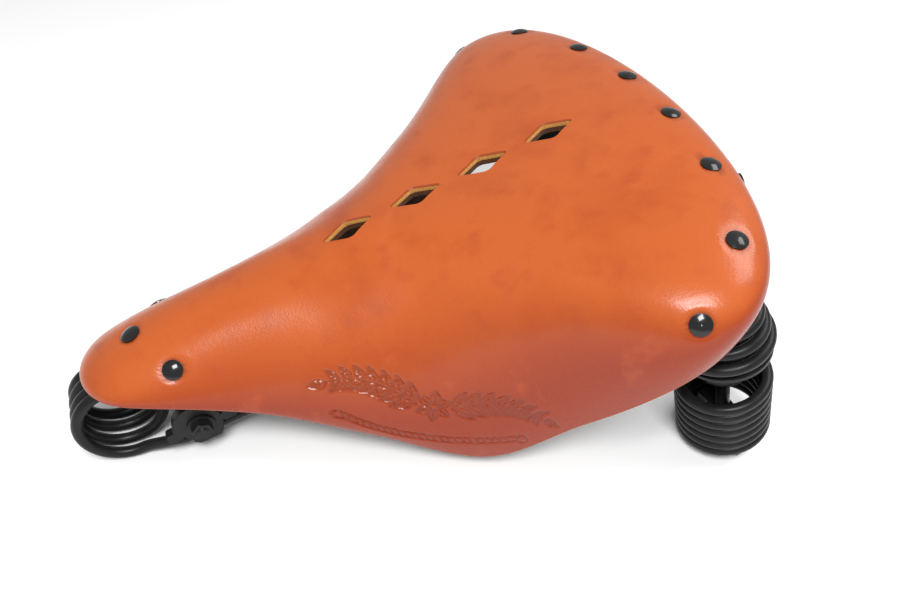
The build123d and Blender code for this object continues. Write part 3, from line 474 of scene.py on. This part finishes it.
@dataclass
class TooledSpray:
    """A plain tooled ornament on each flank: a rosette, two leafy branches and a roped swag.

    Attributes:
        centre: middle of the ornament on the left flank, in millimetres.
        ahead: direction of its base line, towards the rear.
        outward: direction that it faces.
        depth: depth of a cut line.
        half_line: half the width of a cut line.
    """

    centre: tuple = (63.6, 71.3, -5.0)
    ahead: tuple = (0.488, 0.809, -0.328)
    outward: tuple = (0.85, -0.40, 0.29)
    depth: float = 0.50
    half_line: float = 0.40
    branch_length: float = 44.0
    leaf_pairs: int = 7
    petals: int = 6

    def axes(self) -> tuple[np.ndarray, np.ndarray]:
        """The ornament's two unit axes along the leather."""
        ahead = np.array(self.ahead) / np.linalg.norm(self.ahead)
        up = np.cross(ahead, np.array(self.outward))
        up = up if up[2] > 0 else -up
        return ahead, up / np.linalg.norm(up)

    @staticmethod
    def leaf(root: np.ndarray, turn: float, length: float, width: float) -> list[np.ndarray]:
        """Outline and veins of one pointed leaf.

        Args:
            root: where it leaves the branch.
            turn: its direction, in radians.
            length: its length.
            width: its half width.

        Returns:
            Lines as arrays of points.
        """
        t = np.linspace(0, 1, 15)
        spread = width * np.sin(math.pi * t**0.8)
        axis = np.array([math.cos(turn), math.sin(turn)])
        side = np.array([-axis[1], axis[0]])
        lines = [root + np.outer(t * length, axis) + np.outer(sign * spread, side) for sign in (1, -1)]
        lines.append(root + np.outer(np.linspace(0.0, 0.82, 8) * length, axis))
        for share in (0.3, 0.5, 0.68):
            for sign in (1, -1):
                start = root + share * length * axis
                vein = (axis * 0.62 + sign * side * 0.8) * width * 0.62
                lines.append(np.array([start, start + vein]))
        return lines

    def branch(self, way: int) -> list[np.ndarray]:
        """A curved stem with its pairs of leaves, to one side of the rosette."""
        t = np.linspace(0, 1, 30)
        run = np.stack([way * (7 + self.branch_length * 0.86 * t), 9.5 * np.sin(t * 2.3) - 3.5 * t], axis=1)
        lines = [run]
        for k in range(self.leaf_pairs):
            share = 0.06 + 0.86 * k / (self.leaf_pairs - 1)
            i = int(share * (len(run) - 2))
            tangent = run[i + 1] - run[i]
            heading = math.atan2(tangent[1], tangent[0])
            length = 10.5 - 4.2 * share
            for sign in (1, -1):
                lines += self.leaf(run[i], heading + sign * 0.78, length, length * 0.22)
        lines += self.leaf(run[-1], math.atan2(run[-1][1] - run[-2][1], run[-1][0] - run[-2][0]), 7.5, 1.9)
        return lines

    def rosette(self) -> list[np.ndarray]:
        """Petals round a small ring."""
        lines = []
        for k in range(self.petals):
            turn = math.pi / 2 + 2 * math.pi * k / self.petals
            start = 1.7 * np.array([math.cos(turn), math.sin(turn)])
            lines += self.leaf(start, turn, 6.0, 1.9)[:3]
        around = np.linspace(0, 2 * math.pi, 20)
        lines.append(1.5 * np.stack([np.cos(around), np.sin(around)], axis=1))
        return lines

    def swag(self) -> list[np.ndarray]:
        """Two hanging lines with slanted strokes between them, like a rope."""
        t = np.linspace(-1, 1, 49)
        upper = np.stack([36 * t, -9.0 - 7.5 * (1 - t * t)], axis=1)
        lower = upper - np.array([0.0, 3.4])
        lines = [upper, lower]
        for k in range(1, len(t) - 2, 2):
            lines.append(np.array([upper[k] - [0, 0.7], lower[k + 1] + [0, 0.7]]))
        for end in (0, -1):
            around = np.linspace(0, 2 * math.pi, 16)
            knot = (upper[end] + lower[end]) / 2 + np.array([math.copysign(2.3, t[end]), 0])
            lines.append(knot + 2.2 * np.stack([np.cos(around), np.sin(around)], axis=1))
        return lines

    def cut_depth(self, points: np.ndarray) -> np.ndarray:
        """Depth of the tooling in millimetres at points of the outer leather, on both flanks."""
        ahead, up = self.axes()
        left = points * np.array([1.0, 1.0, 1.0])
        left[:, 0] = np.abs(left[:, 0])
        from_centre = left - np.array(self.centre)
        flat = np.stack([from_centre @ ahead, from_centre @ up], axis=1)
        facing = np.abs(from_centre @ np.cross(ahead, up)) < 16.0
        near = np.flatnonzero((np.abs(flat[:, 0]) < 54) & (np.abs(flat[:, 1]) < 24) & facing)
        spot = flat[near]
        closest = np.full(len(near), 1e3)
        for line in self.branch(1) + self.branch(-1) + self.rosette() + self.swag():
            closest = np.minimum(closest, self.distance(spot, line))
        cut = np.exp(-((closest / self.half_line) ** 2))
        ridge = np.exp(-(((closest - 2.3 * self.half_line) / (0.9 * self.half_line)) ** 2))
        depth = np.zeros(len(points))
        depth[near] = self.depth * (cut - 0.16 * ridge)
        return depth

    @staticmethod
    def distance(spot: np.ndarray, line: np.ndarray) -> np.ndarray:
        """Distance from each spot to the nearest piece of a line; far spots are left at a large value."""
        result = np.full(len(spot), 1e3)
        low, high = line.min(0) - 2.5, line.max(0) + 2.5
        inside = np.flatnonzero(np.all((spot > low) & (spot < high), axis=1))
        if len(inside) == 0:
            return result
        here = spot[inside]
        best = np.full(len(inside), 1e3)
        for start, end in zip(line[:-1], line[1:]):
            run = end - start
            share = np.clip(((here - start) @ run) / max(run @ run, 1e-9), 0, 1)
            best = np.minimum(best, np.linalg.norm(here - start - share[:, None] * run, axis=1))
        result[inside] = best
        return result


# ------------------------------------------------------------------ leather
@dataclass
class Leather:
    """The moulded leather: its grain layer with tooling and cut-outs, and the dark lining under it.

    Attributes:
        finishes: the saddle's finishes.
        grain: thickness of the grain layer in millimetres.
        gap: space between the two layers.
        lining: thickness of the lining.
        roll: radius that the outer edge is rounded to.
        cutout_length: length of a diamond cut-out.
        cutout_width: its width.
        cutouts: where the cut-outs' middles lie along Y.
        rivets: plan places of the left side's rivets, and of those on the middle line.
        rivet_radius: radius of a rivet's head.
    """

    finishes: Finishes
    form: CrownForm = field(default_factory=CrownForm)
    spray: TooledSpray = field(default_factory=TooledSpray)
    grain: float = 2.6
    gap: float = 0.02
    lining: float = 2.4
    roll: float = 0.45
    cutout_length: float = 23.5
    cutout_width: float = 11.3
    cutouts: tuple = (69.5, 101.0, 132.4, 163.8)
    rivets: tuple = ((17.8, 212.0), (54.5, 206.8), (92.4, 192.4), (112.1, 164.6), (57.9, 217.7),
                     (0.0, -28.5), (21.5, -17.0))
    rivet_radius: float = 4.15

    @staticmethod
    def lines(knots: tuple, counts: tuple) -> np.ndarray:
        """Grid line places, evenly spaced inside each span between knots."""
        parts = [np.linspace(knots[i], knots[i + 1], counts[i], endpoint=False) for i in range(len(counts))]
        return np.concatenate(parts + [np.array([knots[-1]])])

    def fine_lines(self) -> tuple[np.ndarray, np.ndarray]:
        """Grid lines of the grain layer: close over the tooling, and near the rim where it rolls over."""
        half = self.lines((0.0, 0.47, 0.93, 0.985, 0.996, 1.0), (24, 92, 8, 3, 3))
        across = np.concatenate([-half[:0:-1], half])
        ahead = self.lines((-1.0, -0.996, -0.985, -0.36, 0.31, 0.985, 0.996, 1.0), (3, 3, 46, 190, 54, 3, 3))
        return across, ahead

    def grid(self, name: str, across: np.ndarray, ahead: np.ndarray) -> bpy.types.Object:
        """A flat grid primitive whose lines stand at the given places; its places are kept as attributes."""
        clear_selection()
        bpy.ops.mesh.primitive_grid_add(x_subdivisions=len(across) - 1, y_subdivisions=len(ahead) - 1, size=2.0)
        piece = bpy.context.object
        piece.name = name
        flat = points_of(piece)
        i = np.rint((flat[:, 0] + 1) / 2 * (len(across) - 1)).astype(int)
        j = np.rint((flat[:, 1] + 1) / 2 * (len(ahead) - 1)).astype(int)
        write_floats(piece, "skin_a", across[i])
        write_floats(piece, "skin_b", ahead[j])
        write_floats(piece, "skin_depth", np.zeros(len(flat)))
        return piece

    def wall(self, piece: bpy.types.Object, depths: tuple) -> None:
        """Extrudes the grid's border into a wall, one ring for each depth."""
        for depth in depths:
            pick(piece)
            before = len(piece.data.vertices)
            bpy.ops.object.mode_set(mode="EDIT")
            bpy.ops.mesh.select_mode(type="EDGE")
            bpy.ops.mesh.select_all(action="DESELECT")
            bpy.ops.mesh.select_non_manifold(extend=False)
            bpy.ops.mesh.extrude_edges_move()
            bpy.ops.object.mode_set(mode="OBJECT")
            values = read_floats(piece, "skin_depth")
            values[before:] = depth
            write_floats(piece, "skin_depth", values)

    def rim_gap(self, a: np.ndarray, b: np.ndarray) -> np.ndarray:
        """Distance in millimetres from places on the leather to its lower edge."""
        most = np.maximum(np.maximum(np.abs(a), np.abs(b)), 1e-6)
        return np.linalg.norm(self.form.point(a / most, b / most) - self.form.point(a, b), axis=1)

    def roll_depth(self, gap: np.ndarray) -> np.ndarray:
        """How far the face drops where it rolls over to the rim."""
        inside = np.clip(self.roll - gap, 0.0, self.roll)
        return self.roll - np.sqrt(self.roll**2 - inside**2)

    @staticmethod
    def worn_edge(gap: np.ndarray, b: np.ndarray) -> np.ndarray:
        """Share of raw colour beside the lower edge, which is worn most at the rear."""
        return (1 - smooth_step(0.2, 0.8, gap)) * (0.15 + 0.7 * smooth_step(-0.3, 0.8, b))

    def rivet_shape(self, points: np.ndarray) -> tuple[np.ndarray, np.ndarray]:
        """Dent round each rivet, and how much painted shade falls round its head."""
        dent = np.zeros(len(points))
        dark = np.zeros(len(points))
        for x, y in self.rivets:
            for side in (1, -1) if x else (1,):
                a, b = self.form.place_over(side * x, y)
                middle = self.form.point(np.array([a]), np.array([b]))[0]
                away = np.linalg.norm(points - middle, axis=1)
                radius = self.rivet_radius
                dent += 0.42 * (1 - smooth_step(radius - 0.3, radius + 2.6, away))
                dent -= 0.10 * np.exp(-(((away - radius - 2.4) / 1.1) ** 2))
                # Painted shade in a ring round the rivet's head.
                dark = np.maximum(dark, 0.6 * (1 - smooth_step(radius, radius + 0.9, away)))
        return dent, dark

    def shape(self, piece: bpy.types.Object, start: float, tooled: bool) -> None:
        """Moves a grid's vertices on to the crown.

        Args:
            piece: the grid.
            start: depth of the layer's top under the outer leather.
            tooled: whether it gets the tooling and the rivets' dents.
        """
        a, b = read_floats(piece, "skin_a"), read_floats(piece, "skin_b")
        depth = read_floats(piece, "skin_depth") + start
        points, normals = self.form.point(a, b), self.form.normal(a, b)
        face = read_floats(piece, "skin_depth") == 0
        if tooled:
            cut = self.spray.cut_depth(points) * face
            dent, dark = self.rivet_shape(points)
            gap = self.rim_gap(a, b)
            depth = depth + (cut + dent + self.roll_depth(gap)) * face
            write_floats(piece, "worn_edge", self.worn_edge(gap, b) * face)
            # Painted shade: darker in the tooled grooves and round the rivet heads.
            write_floats(piece, "burnish", np.clip(np.maximum(cut / self.spray.depth * 0.5, dark * face), 0, 0.9))
            # Painted shade: share of the deeper side colour, rising as the face turns away from up.
            flank = smooth_step(0.15, 0.85, 1 - normals[:, 2])
            write_floats(piece, "flank", flank)
        set_points(piece, (points - normals * depth[:, None]) * MM)

    def close(self, piece: bpy.types.Object, inner: bpy.types.Object) -> None:
        """Joins an inner face to the outer one and bridges their borders."""
        clear_selection()
        inner.select_set(True)
        piece.select_set(True)
        bpy.context.view_layer.objects.active = piece
        bpy.ops.object.join()
        bpy.ops.object.mode_set(mode="EDIT")
        bpy.ops.mesh.select_mode(type="EDGE")
        bpy.ops.mesh.select_all(action="DESELECT")
        bpy.ops.mesh.select_non_manifold(extend=False)
        bpy.ops.mesh.bridge_edge_loops()
        bpy.ops.mesh.select_all(action="SELECT")
        bpy.ops.mesh.normals_make_consistent(inside=False)
        bpy.ops.object.mode_set(mode="OBJECT")

    def layer(self, name: str, across: np.ndarray, ahead: np.ndarray, start: float, thickness: float,
              tooled: bool) -> bpy.types.Object:
        """One closed layer of the leather, without its cut-outs."""
        piece = self.grid(name, across, ahead)
        first = self.roll if tooled else 0.3
        self.wall(piece, (first + 0.35 * (thickness - first), thickness))
        self.shape(piece, start, tooled)
        coarse = np.linspace(-1.0, 1.0, 61)
        inner = self.grid(name + "_inner", coarse, coarse)
        write_floats(inner, "skin_depth", np.full(len(inner.data.vertices), thickness))
        self.shape(inner, start, False)
        inner.data.flip_normals()
        self.close(piece, inner)
        return piece

    def cutter(self, y: float, flare: float, top: float) -> bpy.types.Object:
        """Diamond cutter over one cut-out, square to the crown there.

        Args:
            y: the cut-out's middle along Y, in millimetres.
            flare: depth at which its sides start to lean out, or 0 for straight sides.
            top: depth of the layer's top.

        Returns:
            The cutter, with the wall's material first and the bevel's second.
        """
        a, b = self.form.place_over(0.0, y)
        middle = self.form.point(np.array([a]), np.array([b]))[0]
        normal = self.form.normal(np.array([a]), np.array([b]))[0]
        clear_selection()
        bpy.ops.mesh.primitive_circle_add(vertices=4, radius=1.0, fill_type="NGON")
        piece = bpy.context.object
        bpy.ops.object.mode_set(mode="EDIT")
        bpy.ops.mesh.select_all(action="SELECT")
        bpy.ops.transform.resize(value=(self.cutout_width / 2, self.cutout_length / 2, 1))
        bpy.ops.mesh.bevel(offset=2.0, offset_type="OFFSET", segments=5, affect="VERTICES")
        bpy.ops.transform.translate(value=(0, 0, -14))
        bpy.ops.mesh.extrude_region_move(TRANSFORM_OT_translate={"value": (0, 0, 14 - top - flare)})
        lean = 4.0 if flare else 6.0
        spread = 1 + (lean * 0.9 if flare else 0.0) / (self.cutout_width / 2)
        bpy.ops.mesh.extrude_region_move(TRANSFORM_OT_translate={"value": (0, 0, lean)})
        bpy.ops.transform.resize(value=(spread, 1 + (spread - 1) * self.cutout_width / self.cutout_length, 1))
        bpy.ops.mesh.select_all(action="SELECT")
        bpy.ops.mesh.normals_make_consistent(inside=False)
        bpy.ops.object.mode_set(mode="OBJECT")
        edge = self.finishes.cut_edge if flare else self.finishes.flesh_edge
        piece.data.materials.append(edge)
        piece.data.materials.append(self.finishes.burnished)
        for polygon in piece.data.polygons:
            polygon.material_index = 1 if polygon.center.z > -top - flare + 0.1 and flare else 0
        turn = Vector((0, 0, 1)).rotation_difference(Vector(normal)).to_matrix().to_4x4()
        piece.data.transform(Matrix.Scale(MM, 4) @ Matrix.Translation(Vector(middle)) @ turn)
        return piece

    def cut(self, piece: bpy.types.Object, flare: float, top: float) -> None:
        """Cuts the diamonds out of a layer."""
        for y in self.cutouts:
            tool = self.cutter(y, flare, top)
            apply_modifier(piece, "BOOLEAN", operation="DIFFERENCE", object=tool, solver="EXACT",
                           material_mode="TRANSFER")
            bpy.data.objects.remove(tool)

    def finish_layer(self, piece: bpy.types.Object, node: str, angle: float) -> None:
        """Smooths a layer, fits it to its CAD node and puts it on the seat."""
        pick(piece)
        bpy.ops.object.shade_smooth_by_angle(angle=math.radians(angle))
        points = points_of(piece)
        low, high = (np.array(corner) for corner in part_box(node))
        made_low, made_high = points.min(0), points.max(0)
        set_points(piece, low + (points - made_low) * (high - low) / (made_high - made_low))
        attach(piece, Body.SEAT_TOP.value)
        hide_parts(node)
        LOG.info("%s: %d faces", piece.name, len(piece.data.polygons))

    def build_grain(self) -> None:
        """The outer layer: tooled, dented at the rivets, bevelled round its cut-outs."""
        across, ahead = self.fine_lines()
        piece = self.layer("crown_leather", across, ahead, 0.0, self.grain, True)
        piece.data.materials.append(self.finishes.leather)
        piece.data.materials.append(self.finishes.cut_edge)
        depth = read_floats(piece, "skin_depth")
        for polygon in piece.data.polygons:
            polygon.material_index = 1 if max(depth[k] for k in polygon.vertices) > 0 else 0
        self.cut(piece, 0.9, 0.0)
        self.finish_layer(piece, "leather_top", 38)

    def build_lining(self) -> None:
        """The dark lining under the grain layer."""
        lines = self.lines((-1.0, -0.99, 0.99, 1.0), (2, 76, 2))
        piece = self.layer("crown_lining", lines, lines, self.grain + self.gap, self.lining, False)
        piece.data.materials.append(self.finishes.flesh)
        self.cut(piece, 0.0, self.grain + self.gap)
        self.finish_layer(piece, "leather_lining", 40)

    def build(self) -> None:
        """Both layers."""
        self.build_grain()
        self.build_lining()


# ------------------------------------------------------------------ wire pieces
@dataclass
class WireShop:
    """Bends round wire along paths given in millimetres.

    Attributes:
        finish: the wire's material.
        diameter: the wire's diameter in millimetres.
        sides: how many faces go round the wire.
    """

    finish: bpy.types.Material
    diameter: float = 5.0
    sides: int = 20

    def bend(self, name: str, path: np.ndarray) -> bpy.types.Object:
        """Wire along a path, closed and domed a little at its ends.

        Args:
            name: the piece's name.
            path: points along its centre line.

        Returns:
            The finished mesh.
        """
        clear_selection()
        bpy.ops.curve.primitive_bezier_curve_add()
        curve = bpy.context.object
        curve.name = name
        curve.data.splines.clear()
        spline = curve.data.splines.new("POLY")
        spline.points.add(len(path) - 1)
        flat = np.concatenate([path * MM, np.ones((len(path), 1))], axis=1)
        spline.points.foreach_set("co", flat.ravel())
        curve.data.dimensions = "3D"
        curve.data.twist_mode = "MINIMUM"
        curve.data.bevel_depth = self.diameter / 2 * MM
        curve.data.bevel_resolution = self.sides // 2 - 2
        curve.data.use_fill_caps = True
        pick(curve)
        bpy.ops.object.convert(target="MESH")
        piece = bpy.context.object
        pick(piece)
        bpy.ops.object.mode_set(mode="EDIT")
        bpy.ops.mesh.select_all(action="SELECT")
        bpy.ops.mesh.remove_doubles(threshold=1e-6)
        bpy.ops.mesh.normals_make_consistent(inside=False)
        bpy.ops.object.mode_set(mode="OBJECT")
        self.soften_ends(piece)
        bpy.ops.object.shade_smooth_by_angle(angle=math.radians(40))
        piece.data.materials.clear()
        piece.data.materials.append(self.finish)
        return piece

    def soften_ends(self, piece: bpy.types.Object) -> None:
        """Insets the two end caps, as filed wire has, by working on the caps' faces."""
        bpy.ops.object.mode_set(mode="EDIT")
        bpy.ops.mesh.select_mode(type="FACE")
        bpy.ops.mesh.select_all(action="DESELECT")
        bpy.ops.object.mode_set(mode="OBJECT")
        for polygon in piece.data.polygons:
            polygon.select = len(polygon.vertices) > 6
        bpy.ops.object.mode_set(mode="EDIT")
        bpy.ops.mesh.inset(thickness=0.0006, depth=0.0004)
        bpy.ops.object.mode_set(mode="OBJECT")

    @staticmethod
    def rounded(corners: list, radii: tuple, step: float = 1.2) -> np.ndarray:
        """Path through corners, each rounded by an arc of its radius.

        Args:
            corners: the corner points.
            radii: a radius for each corner but the first and last.
            step: distance between points on an arc.

        Returns:
            The points, close together on the arcs.
        """
        points = [np.array(corners[0], float)]
        for k, radius in enumerate(radii, start=1):
            here = np.array(corners[k], float)
            back = np.array(corners[k - 1], float) - here
            on = np.array(corners[k + 1], float) - here
            back, on = back / np.linalg.norm(back), on / np.linalg.norm(on)
            turn = math.acos(np.clip(-back @ on, -1, 1))
            if turn < 1e-4:
                continue
            reach = radius * math.tan(turn / 2)
            bisector = (back + on) / np.linalg.norm(back + on)
            centre = here + bisector * radius / math.cos(turn / 2)
            start, end = here + back * reach, here + on * reach
            count = max(3, int(radius * turn / step))
            first, last = (start - centre) / radius, (end - centre) / radius
            for i in range(count + 1):
                share = i / count
                mixed = math.sin((1 - share) * turn) * first + math.sin(share * turn) * last
                points.append(centre + radius * mixed / math.sin(turn))
        points.append(np.array(corners[-1], float))
        return np.array(points)

    @staticmethod
    def joined(*paths: np.ndarray) -> np.ndarray:
        """Paths end to end, without the repeated points."""
        points = np.concatenate(paths)
        keep = np.concatenate([[True], np.linalg.norm(np.diff(points, axis=0), axis=1) > 1e-3])
        return points[keep]

    @staticmethod
    def mirrored(path: np.ndarray) -> np.ndarray:
        """A path's mirror image across the saddle's middle plane."""
        return path * np.array([-1.0, 1.0, 1.0])


@dataclass
class RearSprings:
    """The two rear springs on each side, between the rails and the seat.

    Attributes:
        bench: the wire bending bench.
        axis: the left springs' axis, (x, y) in millimetres.
        lower_base: height of the lower spring's underside.
        lower_turns: its turns.
        lower_pitch: its rise in each turn.
        lower_radius: radius of its centre line.
        upper_span: lowest and highest z of the upper spring.
        upper_turns: its turns.
        upper_radii: radius of its centre line at the bottom and the top.
        upper_start: where its lowest turn starts, in degrees.
        step: angle between points round a turn, in degrees.
    """

    bench: WireShop
    axis: tuple = (90.1, 188.3)
    lower_base: float = -72.4
    lower_turns: float = 7.1
    lower_pitch: float = 5.08
    lower_radius: float = 17.95
    upper_span: tuple = (-14.0, 19.5)
    upper_turns: float = 4.1
    upper_radii: tuple = (19.3, 9.5)
    upper_start: float = 200.0
    step: float = 7.5
    rail_bend: tuple = (18.0, 13.0, -8.5)
    eye_side: float = 80.9
    eye_run_in: float = 22.0
    clip_ahead: float = 24.0
    body_gap: float = 0.4

    def ring(self, turns: float, start: float) -> np.ndarray:
        """Angles in radians for a helix of so many turns."""
        count = int(turns * 360 / self.step)
        return math.radians(start) + np.linspace(0, 2 * math.pi * turns, count + 1)

    def lower_path(self) -> np.ndarray:
        """Centre line of the left lower spring: close turns, then a leg that runs forward under the rail."""
        half = self.bench.diameter / 2
        turns = self.ring(self.lower_turns, 180 - 360 * (self.lower_turns % 1))
        rise = np.linspace(0, self.lower_pitch * self.lower_turns, len(turns))
        helix = np.stack([self.axis[0] + self.lower_radius * np.cos(turns),
                          self.axis[1] + self.lower_radius * np.sin(turns),
                          self.lower_base + half + rise], axis=1)
        eye_z = self.lower_base + self.lower_pitch * self.lower_turns + 3 * half + 2 * self.body_gap
        bend_end = np.array([self.eye_side, self.axis[1] - self.eye_run_in, eye_z])
        bend_start = np.array(self.rail_bend)
        direction = (bend_end - bend_start) / np.linalg.norm(bend_end - bend_start)
        clip = bend_end - direction * self.clip_ahead + np.array([0, 0, -self.bench.diameter - self.body_gap])
        leaving = (helix[-1] - helix[-2]) / np.linalg.norm(helix[-1] - helix[-2])
        corners = [helix[-1], helix[-1] + leaving * 9, clip + direction * 9, clip - direction * 7]
        return self.bench.joined(helix, self.bench.rounded(corners, (14.0, 14.0)))

    def upper_path(self) -> np.ndarray:
        """Centre line of the left upper spring: open turns that narrow upwards."""
        half = self.bench.diameter / 2
        turns = self.ring(self.upper_turns, self.upper_start)
        share = np.linspace(0, 1, len(turns))
        radius = self.upper_radii[0] + (self.upper_radii[1] - self.upper_radii[0]) * share
        height = self.upper_span[0] + half + (self.upper_span[1] - self.upper_span[0] - 2 * half) * share
        return np.stack([self.axis[0] + radius * np.cos(turns), self.axis[1] + radius * np.sin(turns), height],
                        axis=1)

    def hang(self, piece: bpy.types.Object, node: str) -> None:
        """Fixes a spring where it is built, and shows it in place of its CAD node.

        Args:
            piece: the spring.
            node: its CAD node.
        """
        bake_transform(piece)
        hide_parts(node)
        LOG.info("%s: %d faces", piece.name, len(piece.data.polygons))

    def build(self) -> None:
        """All four springs."""
        for side in Side:
            lower, upper = self.lower_path(), self.upper_path()
            if side is Side.RIGHT:
                lower, upper = self.bench.mirrored(lower), self.bench.mirrored(upper)
            node = f"{side.word}_lower_spring"
            coil = self.bench.bend(f"{side.word}_rear_coil", lower)
            self.hang(coil, node)
            node = f"{side.word}_upper_spring"
            cone = self.bench.bend(f"{side.word}_cone_spring", upper)
            self.hang(cone, node)


# ------------------------------------------------------------------ CAD pieces
@dataclass
class Hardware:
    """The pieces that keep their CAD shape: each gets its finish."""

    finishes: Finishes
    rivets: tuple = ("rear_rivets", "rear_face_rivets", "nose_rivets")
    wires: tuple = ("left_rail", "right_rail")
    fasteners: tuple = ("clamp_bolt", "clamp_washers", "anchor_screws", "nose_hinge_pin", "left_clamp_nut",
                        "right_clamp_nut", "left_spring_bolt", "right_spring_bolt", "left_spring_nut",
                        "right_spring_nut")
    plates: tuple = ("post_strap", "left_inner_cheek", "right_inner_cheek", "left_outer_cheek",
                     "right_outer_cheek", "coil_anchor", "cross_stay", "left_spring_clip", "right_spring_clip",
                     "left_spring_seat", "right_spring_seat", "left_spring_cap", "right_spring_cap",
                     "left_foot_strap", "right_foot_strap", "cantle_plate", "nose_plate")

    def build(self) -> None:
        """Paints every node that stays."""
        groups = ((self.rivets, self.finishes.rivet), (self.wires, self.finishes.wire),
                  (self.fasteners, self.finishes.fastener), (self.plates, self.finishes.plate))
        for names, finish in groups:
            for name in names:
                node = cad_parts[name]
                for slot in node.material_slots:
                    slot.material = finish
        LOG.info("hardware painted: %d nodes", sum(len(names) for names, _ in groups))


# ------------------------------------------------------------------ studio
@dataclass
class Studio:
    """Pale sweep, soft lights and the camera.

    Attributes:
        place: the camera's place in metres.
        forward: the way it looks.
        across: its right-hand direction.
        down: its downward direction.
        lens: focal length for a 36 mm sensor.
    """

    place: tuple = (0.2754, 0.0614, 0.2661)
    forward: tuple = (-0.69252933, 0.09900551, -0.71456353)
    across: tuple = (0.36310577, 0.90375074, -0.22669096)
    down: tuple = (0.62334367, -0.41645228, -0.66182336)
    lens: float = 33.5436
    floor_size: float = 8.0

    def camera(self) -> None:
        """The camera, turned by its three directions."""
        clear_selection()
        bpy.ops.object.camera_add()
        camera = bpy.context.object
        camera.name = "studio_camera"
        axes = np.array([self.across, -np.array(self.down), -np.array(self.forward)]).T
        matrix = Matrix(axes.tolist()).to_4x4()
        matrix.translation = Vector(self.place)
        camera.matrix_world = matrix
        camera.data.lens = self.lens
        camera.data.sensor_width = 36.0
        camera.data.clip_start = 0.01
        bpy.context.scene.camera = camera

    def floor(self) -> None:
        """Pale floor under the nose coil and the two rear coils' front edges; it shows from above only."""
        strap_low, strap_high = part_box("left_foot_strap")
        coil_low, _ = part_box("left_lower_spring")
        nose = self.nose_contact()
        heel = Vector((0.0, (strap_low.y + strap_high.y) / 2 - 0.0205, coil_low.z))
        ahead = (heel - nose).normalized()
        up = Vector((1, 0, 0)).cross(ahead).normalized()
        middle = (nose + heel) / 2 - up * 0.0006
        clear_selection()
        bpy.ops.mesh.primitive_plane_add(size=self.floor_size)
        floor = bpy.context.object
        floor.name = "sweep"
        turn = Matrix((Vector((1, 0, 0)), ahead, up)).transposed().to_4x4()
        floor.data.transform(Matrix.Translation(middle) @ turn)
        bench = NodeBench("pale_sweep")
        bench.set(Roughness=0.9, Specular_IOR_Level=0.1)
        bench.shader.inputs["Base Color"].default_value = (0.93, 0.93, 0.93, 1)
        facing = bench.add("ShaderNodeNewGeometry").outputs["Backfacing"]
        clear = bench.add("ShaderNodeBsdfTransparent")
        either = bench.add("ShaderNodeMixShader")
        bench.tree.links.new(facing, either.inputs[0])
        bench.tree.links.new(bench.shader.outputs[0], either.inputs[1])
        bench.tree.links.new(clear.outputs[0], either.inputs[2])
        bench.tree.links.new(either.outputs[0], bench.tree.nodes["Material Output"].inputs["Surface"])
        floor.data.materials.append(bench.material)
        floor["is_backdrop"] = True

    @staticmethod
    def nose_contact() -> Vector:
        """Lowest point of the nose coil."""
        points = points_of(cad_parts["left_rail"])
        coil = points[points[:, 1] < -0.035]
        lowest = coil[np.argmin(coil[:, 2] + 0.27 * coil[:, 1])]
        return Vector((0.0, float(lowest[1]), float(lowest[2])))

    def lamp(self, name: str, place: tuple, aim: tuple, size: tuple, power: float) -> None:
        """A soft box.

        Args:
            name: the lamp's name.
            place: where it hangs, in metres.
            aim: the point that it faces.
            size: its width and height.
            power: its power in watts.
        """
        clear_selection()
        bpy.ops.object.light_add(type="AREA")
        lamp = bpy.context.object
        lamp.name = name
        lamp.data.shape = "RECTANGLE"
        lamp.data.size, lamp.data.size_y = size
        lamp.data.energy = power
        direction = Vector(aim) - Vector(place)
        turn = direction.to_track_quat("-Z", "Y").to_matrix().to_4x4()
        lamp.matrix_world = Matrix.Translation(Vector(place)) @ turn

    def lights(self) -> None:
        """White surroundings, a key box over the left flank and a fill from behind."""
        world = bpy.data.worlds.new("white_room")
        world.use_nodes = True
        backdrop = world.node_tree.nodes["Background"]
        backdrop.inputs["Color"].default_value = (1, 1, 1, 1)
        backdrop.inputs["Strength"].default_value = 0.5
        bpy.context.scene.world = world
        self.lamp("key_box", (0.62, 0.10, 0.98), (0.0, 0.08, 0.0), (0.46, 0.34), 13.0)
        self.lamp("rear_box", (0.10, 0.95, 0.70), (0.0, 0.10, 0.0), (0.60, 0.40), 5.0)
        bpy.context.scene.view_settings.view_transform = "Standard"

    def build(self) -> None:
        """Everything round the saddle."""
        self.camera()
        self.floor()
        self.lights()


def corners() -> list:
    """Lowest and highest corners of what is shown, as plain lists."""
    return [list(corner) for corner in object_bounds()]


def main() -> None:
    """Builds the saddle's looks in order."""
    logging.basicConfig(level=logging.INFO, format="%(name)s %(message)s")
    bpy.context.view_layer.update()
    finishes = Finishes()
    Leather(finishes).build()
    RearSprings(WireShop(finishes.wire)).build()
    Hardware(finishes).build()
    Studio().build()


if __name__ == "__main__":
    main()
